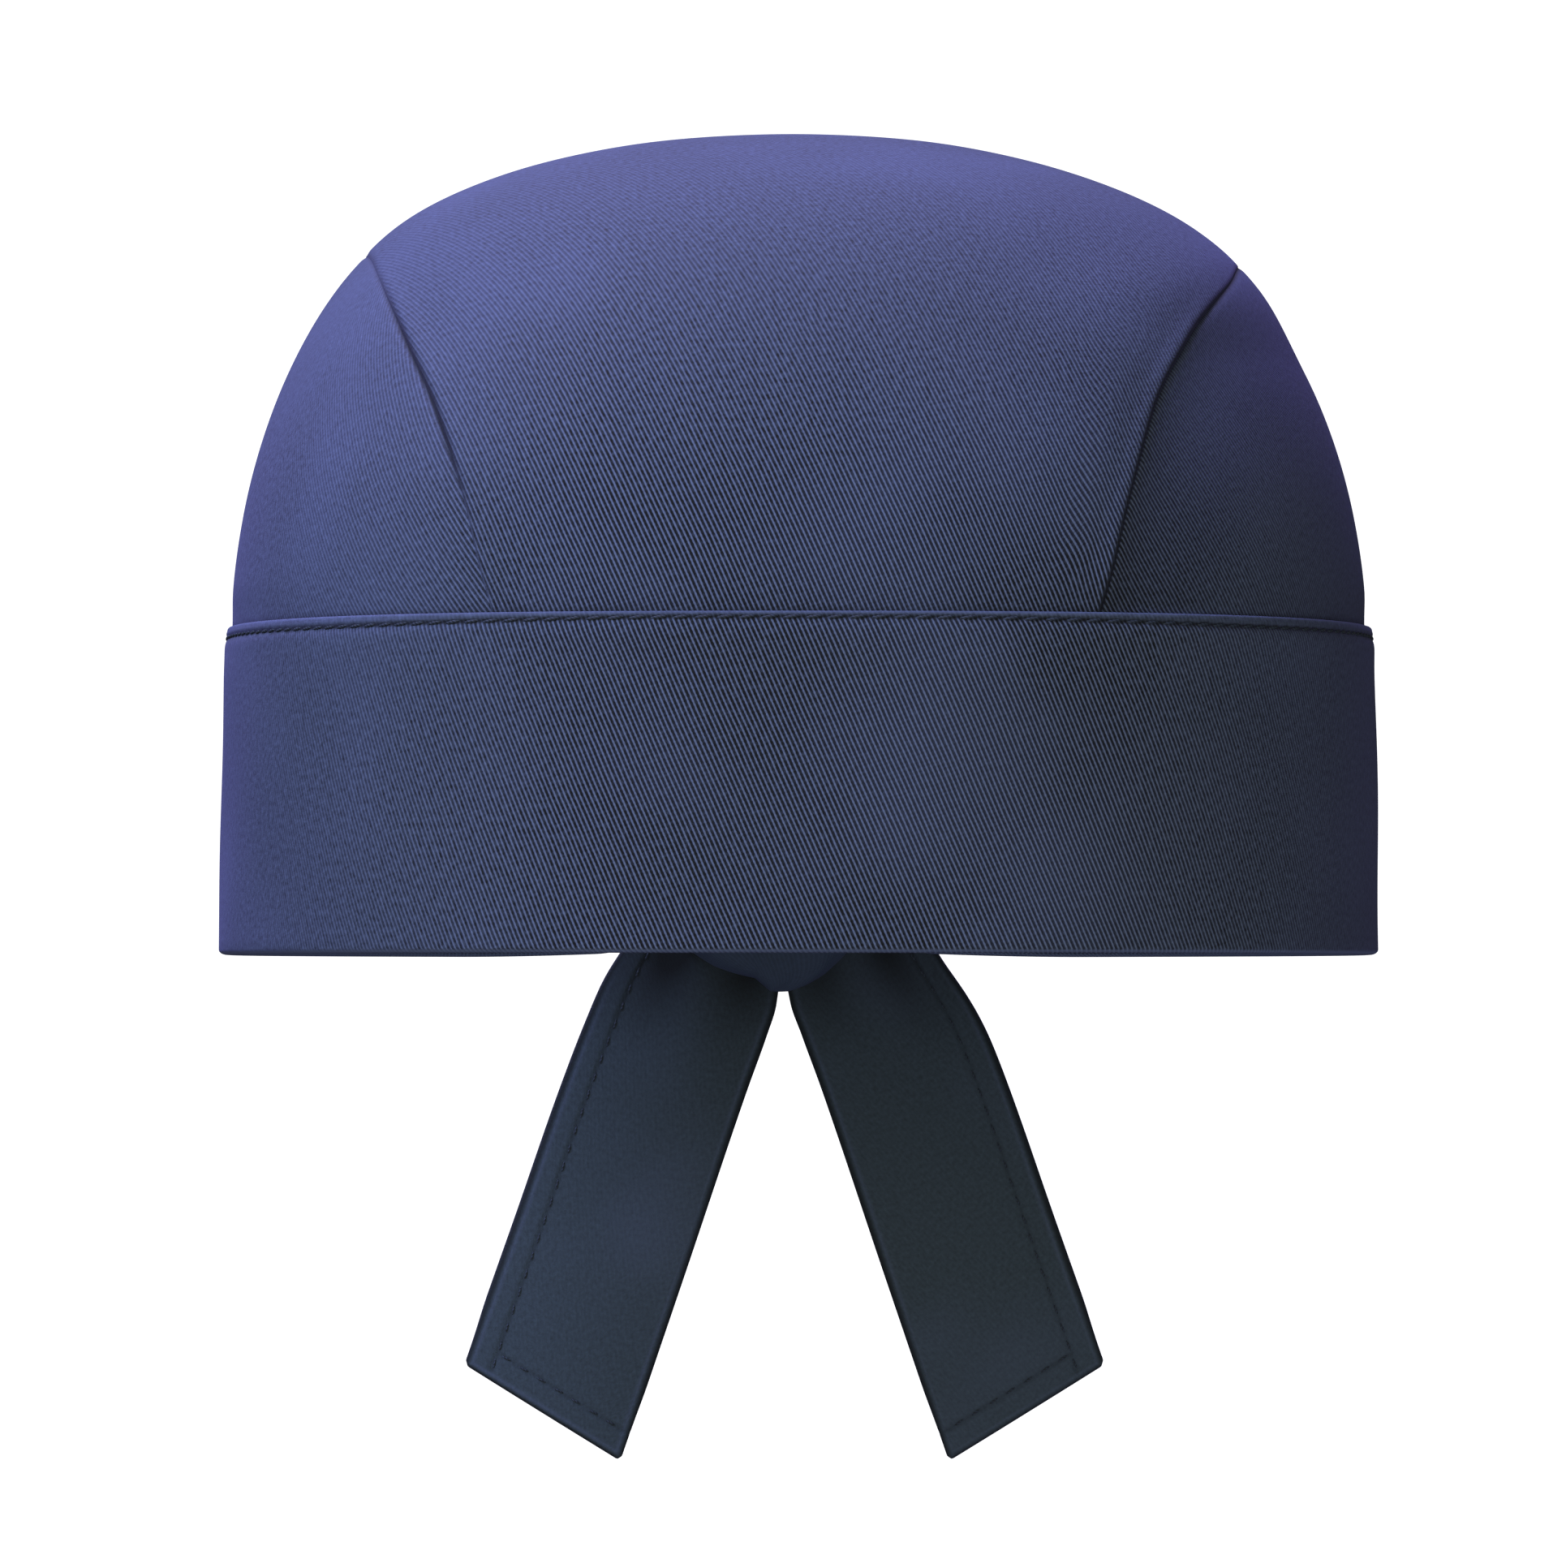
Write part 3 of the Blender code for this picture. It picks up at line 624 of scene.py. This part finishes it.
def sidePanel(name, side):
    # Ruled over the round map from the seam out to the map's edge, on the left (1) or the right (2)
    s, v = np.meshgrid(np.linspace(0, 1, crown["sideAcross"]), np.linspace(0, 1, crown["sideAlong"]))
    w = 0.3 * s + 0.7 * s**2
    outward = -1 if side == 1 else 1
    seamP, seamQ = seamLine(v, side)
    seamP = seamP + crown["seamGap"] / perMap
    frontWay = math.atan2(seamQ[0, 0], seamP[0, 0])
    backWay = math.atan2(seamQ[-1, 0], seamP[-1, 0])
    edgeWay = frontWay + (backWay - frontWay) * v
    past = np.maximum(np.hypot(seamP, seamQ), 1)
    seamP, seamQ = seamP / past, seamQ / past
    p = outward * (seamP + (np.cos(edgeWay) - seamP) * w)
    q = seamQ + (np.sin(edgeWay) - seamQ) * w
    base = crownBase(p, q)
    normal = crownNormal(p, q)
    way = np.arctan2(q, p)
    clear, clearLow = clearOfBand(base, way)
    fromSeam = walked(base, 1, 0)
    z = base[..., 2]
    if side == 2:
        nearTop = ease(z, 88, 102)
        far = fromSeam / crown["fallFar"]
        sunk = crown["fall"] * far * np.exp(1 - far) * (1 - nearTop)
        sunk = sunk + crown["seamDeep"] * bump(fromSeam, 0, crown["seamWide"]) * (1 - 0.5 * nearTop)
    else:
        sunk = crown["leftDip"] * bump(fromSeam, 0, crown["leftDipSpread"])
        sunk = sunk + crown["leftDeep"] * bump(fromSeam, 0, crown["leftWide"]) * seamShow(z)
    lift = crown["wave"] * slackness(p, q) * clear - sunk * clearLow
    outer = base + normal * lift[..., None]
    inner = base + normal * (lift - cap["crownWall"])[..., None]
    around = np.interp(way, rimWays, rimLength) - rimLength[-1] / 4
    if side == 1:
        around = np.where(way > 0, around - rimLength[-1], around)
    down = sideLength[-1] - np.interp(np.hypot(p, q), sideRings, sideLength)
    grain = math.radians(crown["leftTurn" if side == 1 else "rightTurn"])
    uv = np.stack([around * math.cos(grain) + down * math.sin(grain),
                   down * math.cos(grain) - around * math.sin(grain)], axis=-1)
    # Painted shade beside the right seam, where the middle panel's fold shades the cloth
    shade = crown["foldShade"] * (1 - ease(fromSeam, 14, 30)) * ease(-q, -0.15, 0.15) * (1 - ease(z, 92, 108))
    # Painted shade: a dark line down the seam, the fold's shade on the right, and the line under the band's
    # rim
    if side == 1:
        crease, roll = bump(fromSeam, 0, 0.5) * seamShow(z), crown["rollLeft"]
    else:
        crease, roll = np.maximum(bump(fromSeam, 0.5, 0.75), shade), crown["rollUnder"]
    crease = np.maximum(crease, underRim(base, way))
    piece = clothShell(name, outer, inner, uv, (roll, crown["rollHidden"]), crownTwill, crease)
    return piece, cutSize(outer)


panels = {
    "crown_panel": middlePanel(),
    "side_panel_left": sidePanel("sidePanelLeft", 1),
    "side_panel_right": sidePanel("sidePanelRight", 2),
}
for node, (piece, (flat, area)) in panels.items():
    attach(piece, "root")
    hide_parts(node)
print("crown panels made")

# Band: folded up double, its upper rim rolled over and topstitched, and gathered into the knot
band = {
    "stations": 620, "halfEnd": 4.72, "wave": 0.2, "fold": 0.8,
    "rimIn": 0.45, "rimFar": 3.4, "rimRound": 0.45, "bead": 0.14, "beadAt": 0.85, "beadSpread": 0.55,
    "stitchFront": 0.85, "stitchSide": 1.6, "groove": 0.24, "grooveWidth": 0.4, "stitchShade": 0.34,
    "rimPressed": 0.8, "foldPressed": 0.5, "rimHighlight": 0.35, "foldHighlight": 0.75,
    "pleat": 0.7, "gatherStart": 58.0, "gatherSpan": 46.0,  # starts and spans are degrees from the knot
    "flare": 2.9, "turnStart": 26.0, "turnSpan": 18.0,
}
bandStitch = {"pitch": 3.2, "length": 2.75, "thick": 0.48, "sink": 0.26, "slant": 8}


def bandPlan(way, inset, height, turn):
    # Point of the band at an angle, an inset from its rim's outline and a height
    lean = cap["bandLean"] + cap["leftLean"] * ease(-np.cos(way), 0.2, 1.0)
    inset = inset + lean * np.clip(height, 0, None) / cap["bandHeight"] - band["flare"] * turn
    reach = planReach(way, 1.0)
    x = (rimHalf[0] - inset) * reach * np.cos(way)
    y = (rimHalf[1] - inset) * reach * np.sin(way)
    return np.stack([x, y, height + 0 * way], axis=-1)


def stitchDown(way):
    # How far the topstitching runs below the rim: closer at the front than at the sides
    fromFront = np.degrees(np.abs((way + math.pi / 2 + math.pi) % (2 * math.pi) - math.pi))
    return band["stitchFront"] + (band["stitchSide"] - band["stitchFront"]) * ease(fromFront, 8, 50)


def bandFace(down, way, height):
    # Inset of the outer face a way below the rim: rolled rim, stitch groove, then a full soft face
    rim = band["rimIn"] * (1 - ease(down, 0.0, band["rimFar"]))
    rim = rim - band["bead"] * bump(down, band["beadAt"], band["beadSpread"])
    groove = band["groove"] * bump(down, stitchDown(way), band["grooveWidth"])
    swell = band["wave"] * (np.sin(6.2 * way + 0.07 * height) * np.sin(0.09 * height + 1.7 * way)
                            + 0.4 * np.sin(15 * way - 0.11 * height))
    return rim + groove - swell * ease(down, 2.5, 8)


def bandStations():
    # Angles round the band from one side of the knot to the other
    end = math.asin(band["halfEnd"] / rimHalf[0])
    along = np.linspace(0, 1, band["stations"])
    return (knotWay - end) + (2 * end - 2 * math.pi) * along


def makeBand():
    # One profile of insets and heights, from the inside up over the rim and down the face to the fold,
    # is drawn round the band's outline
    way = bandStations()[:, None]
    turn = ease(band["turnStart"] - fromKnot(way), 0, band["turnSpan"])
    gather = ease(band["gatherStart"] - fromKnot(way), 0, band["gatherSpan"])
    low, top = bandLow(way), bandHigh(way)
    wall = cap["bandWall"]
    lap = cap["lapWall"] + (wall - cap["lapWall"]) * 0.93 * turn
    fold = band["fold"]
    step = top - cap["tuck"] - 3 * cap["gap"]
    inside = np.linspace(0, 1, 7)
    rows = [(wall + 0 * way + 0 * inside, low + fold + (step - 0.4 - low - fold) * inside)]
    rows.append((wall + (lap - wall) * np.array([0.15, 0.5, 0.85]), step + np.array([-0.1, 0, 0.1])))
    rows.append((lap + 0 * inside, step + 0.4 + (top - 0.5 - step - 0.4) * inside))
    rim = np.linspace(0, math.pi, 9)[1:-1]
    rimFace = bandFace(band["rimRound"] + 0 * way, way, top)
    rimHeight = top - band["rimRound"] + band["rimRound"] * np.sin(rim)
    rows.append(((lap + rimFace) / 2 + (lap - rimFace) / 2 * np.cos(rim), rimHeight))
    down = np.array([
        band["rimRound"], 0.58, 0.7, 0.82, 0.94, 1.06, 1.18, 1.3, 1.42, 1.54, 1.66, 1.78, 1.92, 2.1, 2.5, 3.1,
        3.8, 4.6,
    ])
    rows.append((bandFace(down, way, top - down), top - down))
    share = np.linspace(0, 1, 31)[1:]
    height = top - down[-1] + (low + fold - top + down[-1]) * share
    pleats = np.cos(2 * math.pi * (2.6 * share + 0.25 * np.sin(9 * way))) * np.sin(math.pi * share)
    pleats = band["pleat"] * gather * pleats
    rows.append((bandFace(top - height, way, height) - pleats, height))
    under = np.linspace(0, math.pi, 13)[1:-1]
    face = bandFace(top - low - fold, way, low + fold)
    middle, half = (wall + face) / 2, (wall - face) / 2
    rows.append((middle - half * np.cos(under), low + fold - fold * np.sin(under)))
    insets, heights = [np.concatenate([part + 0 * way for part in parts], axis=1) for parts in zip(*rows)]
    rimStart = 2 * len(inside) + 3
    onFace = np.arange(insets.shape[1]) >= rimStart
    # Painted shade along the line of the topstitching
    crease = np.where(onFace, bump(top - heights, stitchDown(way), band["stitchShade"]), 0)
    ways = np.broadcast_to(way, insets.shape)
    points = bandPlan(ways, insets, heights, turn)
    around = np.unwrap(np.interp((way[:, 0] + math.pi) % (2 * math.pi) - math.pi, rimWays, rimLength),
                       period=rimLength[-1]) - rimLength[-1] / 4
    profile = walked(np.stack([insets, heights], axis=-1), 1)
    faceStart = rimStart + len(rim)
    down = heights[:, [faceStart]] + profile[:, [faceStart]] - profile
    uv = np.stack([np.broadcast_to(around[:, None] * 1.02, insets.shape), down], axis=-1)
    rows, size = points.shape[:2]
    faces = wrapFaces(rows, size)
    # The ribs are pressed flat on the rim, and a painted highlight lightens the rim's top edge and the lower
    # fold
    pressed = band["rimPressed"] * (1 - ease(top - heights, stitchDown(way) - 0.35, stitchDown(way) + 0.1))
    pressed = np.maximum(pressed, band["foldPressed"] * bump(heights - low, 0.2, 0.35))
    pressed = np.where(onFace, pressed, band["rimPressed"])
    worn = band["rimHighlight"] * (1 - ease(top - heights, 0.3, 0.6))
    worn = np.where(onFace, worn + band["foldHighlight"] * bump(heights - low, 0.3, 0.2), 0)
    marks = {"crease": crease, "pressed": pressed, "worn": worn}
    piece = makePiece("bandTurnUp", points, faces, uv, bandTwill, marks=marks)
    cleaned(piece.data, fillHoles=True)
    return piece


def makeBandStitches():
    way = bandStations()
    way = way[fromKnot(way) > 9]
    turn = ease(band["turnStart"] - fromKnot(way), 0, band["turnSpan"])
    height = bandHigh(way) - stitchDown(way)
    inset = bandFace(stitchDown(way), way, height) - bandStitch["thick"] * 0.2
    path = bandPlan(way, inset, height, turn)
    outside = bandPlan(way, inset - 1, height, turn)
    return stitchRow("bandStitches", path, outside - path, bandStitch, navyThread)


bandTurnUp = makeBand()
bandStitches = makeBandStitches()
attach(bandTurnUp, "root")
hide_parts("band")
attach(bandStitches, "root")
print("band made")

# Ties: the band's two ends, hemmed along the outer edge and across the slanted end
tie = {
    "across": 64, "along": 150, "width": 28.0, "length": 120, "split": -2.1, "aside": 0.9, "thick": 1.25,
    "hem": 0.18, "hemFar": 4.2, "endFar": 4.4, "groove": 0.14, "hemGroove": 0.6, "stitchEnd": 1.2,
    "pleat": 0.95, "rootShare": 0.45, "rootShade": 0.9, "leftShade": 1.25, "cup": 0.9, "hangIn": 2.5,
    "corner": 0.6, "rollIn": 0.5, "rollOut": 0.65, "edgeShade": 0.9, "lineShade": 0.3, "edgeHighlight": 0.2,
}
tieStitch = {"pitch": 3.0, "length": 1.9, "thick": 0.3, "sink": 0.25, "slant": 6, "stand": 0.05}


def tieMiddle(u, v, side):
    # Middle of the cloth: a ruled strip between the inner edge (u 0) and the outer edge (u 1), pleated at
    # its root, cupped across and hanging in towards its end
    outerX, innerX = curve(v, tieTable, 1) * tie["width"], curve(v, tieTable, 3) * tie["width"]
    outerZ, innerZ = -curve(v, tieTable, 2) * cap["tieDrop"], -curve(v, tieTable, 4) * cap["tieDrop"]
    x = innerX + (outerX - innerX) * u
    z = innerZ + (outerZ - innerZ) * u
    pleat = tie["pleat"] * np.cos(3 * math.pi * u) * np.clip(1 - v / tie["rootShare"], 0, 1) ** 2
    y = cap["knotBack"] + pleat + tie["cup"] * (2 * u - 1) ** 2 * v - tie["hangIn"] * v**2
    # Both ties lie a little to the left where they come out of the knot
    aside = tie["aside"] * bump(v, 0.2, 0.1) * (0.3 + 0.7 * u)
    return np.stack([tie["split"] - aside + side * x, y, z], axis=-1)


def tieDistances(u, v):
    # Distance of each point from the outer edge, and from the slanted end
    outer = (1 - u) * tie["width"]
    end = tieTable[-1, 1:].reshape(2, 2) * (tie["width"], -cap["tieDrop"])
    flat = tieMiddle(u, v, 1)
    across = unit(end[1] - end[0])
    x, z = flat[..., 0] - tie["split"] - end[0, 0], flat[..., 2] - end[0, 1]
    return outer, np.abs(x * across[1] - z * across[0])


def makeTie(name, side):
    s, r = np.meshgrid(np.linspace(0, 1, tie["across"]), np.linspace(0, 1, tie["along"]))
    u = 0.5 + 0.5 * (0.6 * (2 * s - 1) + 0.4 * np.sin((s - 0.5) * math.pi))
    v = 1 - (1 - r) * (0.25 + 0.75 * (1 - r) ** 0.6)
    near = np.clip(tie["corner"] - np.minimum(u, 1 - u) * tie["width"], 0, None)
    rounding = tie["corner"] - np.sqrt(tie["corner"] ** 2 - near**2)
    v = v - rounding / tie["length"] * ease(v, 0.85, 1)
    middle = tieMiddle(u, v, side)
    normal = gridNormals(middle)
    normal = normal * np.where(normal[..., 1:2] > 0, 1, -1)
    fromOuter, fromEnd = tieDistances(u, v)
    inHem = np.maximum(1 - ease(fromOuter, tie["hemFar"] - 0.1, tie["hemFar"] + 0.8),
                       1 - ease(fromEnd, tie["endFar"] - 0.1, tie["endFar"] + 0.8))
    line = np.maximum(bump(fromOuter, tie["hemFar"], 0.4) * (fromEnd > tie["stitchEnd"]),
                      bump(fromEnd, tie["endFar"], 0.4) * (fromOuter > tie["hemFar"]))
    hem = tie["hem"] * inHem
    half = tie["thick"] / 2 + hem - (tie["groove"] + tie["hemGroove"] * hem) * line
    half = half * np.sqrt(np.clip(1 - (1 - np.clip(fromEnd / 0.7, 0, 1)) ** 2, 0.0004, 1))
    front, back = middle - normal * half[..., None], middle + normal * half[..., None]
    uv = np.stack([side * walked(middle, 1), -walked(middle, 0)], axis=-1)
    # Painted shade: dark at the root, where the cap and the pleats shade the ties, more so on the left tie,
    # along the stitch line and in a thin line round the edges; a painted highlight lightens a line just
    # inside the edges
    rootShade = tie["rootShade"] * (1 if side == 1 else tie["leftShade"])
    crease = rootShade * (1 - ease(v, 0.08, 0.42)) * (1 - 0.35 * np.cos(4 * math.pi * (u - 0.43)))
    toSide = np.minimum(u, 1 - u) * tie["width"]
    edge = bump(np.minimum(toSide, fromEnd), 0, 0.45)
    crease = np.clip(np.maximum(crease + tie["lineShade"] * line, tie["edgeShade"] * edge), 0, 1)
    worn = tie["edgeHighlight"] * bump(np.minimum(toSide, fromEnd), 0.9, 0.32) * (1 - crease)
    return clothShell(name, front, back, uv, (tie["rollIn"], tie["rollOut"]), tieTwillShaded, crease, worn)


def makeTieStitches(name, side):
    # Down the outer hem and across the end, on both faces. Fine steps find where the end's hem runs and
    # where the row down the side stops.
    end = 1 - tie["hemFar"] / tie["width"]
    pieces = []
    grid = np.linspace(0, 1, 1201)
    across = np.linspace(end, 0.06, 50)
    uu, vv = np.meshgrid(across, 0.8 + 0.2 * grid)
    far = tieDistances(uu, vv)[1]
    atEnd = vv[np.argmin(np.abs(far - tie["endFar"]), axis=0), 0]
    far = tieDistances(0 * grid + end, grid)[1]
    stop = grid[np.argmin(np.abs(far - tie["stitchEnd"]))]
    down = np.stack([np.full(90, end), np.linspace(0.14, stop, 90)])
    step = 1e-3
    for part, (u, v) in (("hem", down), ("end", np.stack([across, atEnd]))):
        middle = tieMiddle(u, v, side)
        normal = unit(np.cross(tieMiddle(u + step, v, side) - middle, tieMiddle(u, v + step, side) - middle))
        normal = normal * np.where(normal[..., 1:2] > 0, 1, -1)
        for face, way in (("front", -1), ("back", 1)):
            path = middle + way * normal * (tie["thick"] / 2 + tieStitch["stand"])
            row = stitchRow(f"{name}_{part}_{face}", path, way * normal, tieStitch, navyThread)
            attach(row, "root")
            pieces.append(row)
    return pieces


tieLeft = makeTie("tieLeft", -1)
tieRight = makeTie("tieRight", 1)
tieLeftStitches = makeTieStitches("tieLeftStitches", -1)
tieRightStitches = makeTieStitches("tieRightStitches", 1)
for piece, node, rows in ((tieLeft, "tie_left", tieLeftStitches), (tieRight, "tie_right", tieRightStitches)):
    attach(piece, "root")
    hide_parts(node)
print("ties made")

# Knot: the wrapped end of the band, creased slantwise, with a small tip of cloth under it
knot = {
    "middle": (-cap["knotAside"], cap["knotBack"], 9.3), "half": (14.75, 7.0, 14.8), "square": 2.7,
    "turns": 220, "rises": 130, "crease": 0.10, "slack": 0.018, "tipTop": 3.0,
    "clothRound": 12, "clothUp": 14,  # millimetres of cloth for each radian
}
# x, lowest point there, from the photograph's view
knotTip = np.array([
    (-19, -0.6), (-13.4, -2.3), (-6.9, -3.3), (-4.3, -5.5), (-1.1, -5.5), (1.3, -5.1), (4.4, -4.2),
    (7.2, -2.6), (9.6, -0.8),
])


def makeKnot():
    # A superellipsoid whose reach dips along slanting creases, drawn down to the tip's line below
    turn, rise = np.meshgrid(np.linspace(0, 2 * math.pi, knot["turns"] + 1)[:-1],
                             np.linspace(-1, 1, knot["rises"]) * math.pi / 2)
    way = np.stack([np.cos(rise) * np.cos(turn), np.cos(rise) * np.sin(turn), np.sin(rise)], axis=-1)
    reach = (np.abs(way) ** knot["square"]).sum(axis=-1) ** (-1 / knot["square"])
    fold = (np.abs(np.sin(1.5 * (turn + rise) + 0.4 * np.sin(3 * rise))) ** 0.5 - 1) * np.cos(rise)
    fine = np.sin(7 * turn + 5 * rise + np.sin(2 * turn)) * np.cos(rise)
    reach = reach * (1 + knot["crease"] * fold + knot["slack"] * fine)
    points = np.array(knot["middle"]) + np.array(knot["half"]) * way * reach[..., None]
    low = np.interp(points[..., 0], knotTip[:, 0], knotTip[:, 1])
    z, tipTop = points[..., 2], knot["tipTop"]
    deep = tipTop - knot["middle"][2] + knot["half"][2]
    points[..., 2] = np.where(z < tipTop, tipTop + (z - tipTop) * (tipTop - low) / deep, z)
    uv = np.stack([turn * knot["clothRound"], rise * knot["clothUp"]], axis=-1)
    return makePiece("knotWrap", points, wrapFaces(*turn.shape), uv, knotTwillShaded, weld=1e-5)


knotWrap = makeKnot()
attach(knotWrap, "root")
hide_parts("knot")
print("knot made")

# Studio, in metres: a pale floor that curves up all round into a wall, and sheds no light on the cap
stage = {"floor": -0.30, "flat": 4.2, "bend": 1.4, "wall": 4.0, "sides": 96, "glow": 0.97}


def makeStage():
    # A profile of radius and height turned round Z: flat floor, a quarter bend, then the wall
    bend, sides = np.linspace(0, math.pi / 2, 17), stage["sides"]
    rise = stage["bend"] * (1 - np.cos(bend))
    out, outermost = stage["flat"] + stage["bend"] * np.sin(bend), stage["flat"] + stage["bend"]
    radius = np.concatenate([[0.02, 1.0, 2.0, 3.0], out, [outermost]])
    height = np.concatenate([[0.0] * 4, rise, [stage["wall"]]]) + stage["floor"]
    turn, radius, height = np.arange(sides) / sides * 2 * math.pi, radius[:, None], height[:, None]
    points = np.stack([radius * np.cos(turn), radius * np.sin(turn), height + 0 * turn], axis=-1)
    points = points.reshape(-1, 3)
    fan = [(k, (k + 1) % sides, len(points)) for k in range(sides)]
    faces = [*map(tuple, wrapFaces(len(radius), sides).tolist()), *fan]
    mesh = bpy.data.meshes.new("studioFloor")
    mesh.from_pydata([*map(tuple, points), (0, 0, stage["floor"])], [], faces)
    cleaned(mesh)
    mesh.shade_smooth()
    if mesh.polygons[-1].normal.z < 0:
        mesh.flip_normals()
    material, tree, shader = newMaterial("paleStudioPaper")
    grain = addNode(tree, "ShaderNodeTexNoise", {}, {
        "Vector": addNode(tree, "ShaderNodeTexCoord").outputs["Object"], "Scale": 3.0})
    tint = addNode(tree, "ShaderNodeMix", {"data_type": "RGBA"}, {
        "Factor": grain.outputs["Fac"], 6: linear("f4f4f4"), 7: linear("fafafa")})
    setInputs(tree, shader, {
        "Base Color": tint.outputs[2], "Roughness": 0.9, "Specular IOR Level": 0.1,
        "Emission Color": (1, 1, 1, 1), "Emission Strength": stage["glow"],
    })
    # Seen from underneath the floor is clear, so that a low view isn't blocked
    clear = addNode(tree, "ShaderNodeBsdfTransparent")
    underneath = addNode(tree, "ShaderNodeNewGeometry").outputs["Backfacing"]
    pick = addNode(tree, "ShaderNodeMixShader", {}, {
        0: underneath, 1: shader.outputs[0], 2: clear.outputs[0]})
    setInputs(tree, tree.nodes["Material Output"], {"Surface": pick.outputs[0]})
    mesh.materials.append(material)
    floor = addObject("studioFloor", mesh)
    floor.visible_diffuse = False
    floor.visible_glossy = False
    floor.visible_shadow = False


makeStage()

# azimuth from the front (negative to the left), elevation, power, colour
light = {
    "keySoftbox": (-58, 50, 85, (0.60, 0.67, 0.97)),
    "frontSoftbox": (0, 0, 29.5, (1.0, 0.97, 0.74)),
    "backSoftbox": (-152, 68, 86, (0.72, 0.585, 1.0)),
    "lowSoftbox": (0, -55, 8, (0.85, 0.9, 1.0)),
}
softbox = {"far": 2.4, "size": 1.1, "aimHeight": 0.05}  # metres
fillColour = (0.105, 0.11, 0.10)


def addSoftbox(name, azimuth, elevation, power, colour):
    # A round softbox on a sphere about the cap, facing it
    data = bpy.data.lights.new(name, "AREA")
    data.shape = "DISK"
    data.size = softbox["size"]
    data.energy = power
    data.color = colour
    lamp = addObject(name, data)
    a, e = math.radians(azimuth), math.radians(elevation)
    way = Vector((math.sin(a) * math.cos(e), -math.cos(a) * math.cos(e), math.sin(e)))
    lamp.location = Vector((0, 0, softbox["aimHeight"])) + way * softbox["far"]
    lamp.rotation_euler = way.to_track_quat("Z", "Y").to_euler()


for name, settings in light.items():
    addSoftbox(name, *settings)

world = bpy.data.worlds.new("studioAir")
bpy.context.scene.world = world
world.use_nodes = True
air = world.node_tree
soft = air.nodes["Background"]
setInputs(air, soft, {"Color": (*fillColour, 1), "Strength": 1.0})
# Behind the floor's edge the camera sees plain white
white = addNode(air, "ShaderNodeBackground", {}, {"Color": (1, 1, 1, 1), "Strength": 1.0})
pick = addNode(air, "ShaderNodeMixShader", {}, {
    0: addNode(air, "ShaderNodeLightPath").outputs["Is Camera Ray"], 1: soft.outputs[0], 2: white.outputs[0]})
setInputs(air, air.nodes["World Output"], {"Surface": pick.outputs[0]})

# Camera: level with the ties' roots, 1.93 m in front, tipped up a little, as the photograph was taken
shot = {"x": -2.35, "far": 1928.0, "z": -6.67, "aimZ": 26.06, "lens": 290.9}
camera = addObject("camera", bpy.data.cameras.new("camera"))
camera.data.sensor_width = 36
camera.data.lens = shot["lens"]
camera.data.clip_start = 0.1
camera.data.clip_end = 50
camera.location = (shot["x"] * mm, -shot["far"] * mm, shot["z"] * mm)
aim = Vector((0, shot["far"], shot["aimZ"] - shot["z"]))
camera.rotation_euler = aim.to_track_quat("-Z", "Y").to_euler()
bpy.context.scene.camera = camera
bpy.context.scene.view_settings.view_transform = "Standard"
print("studio ready")
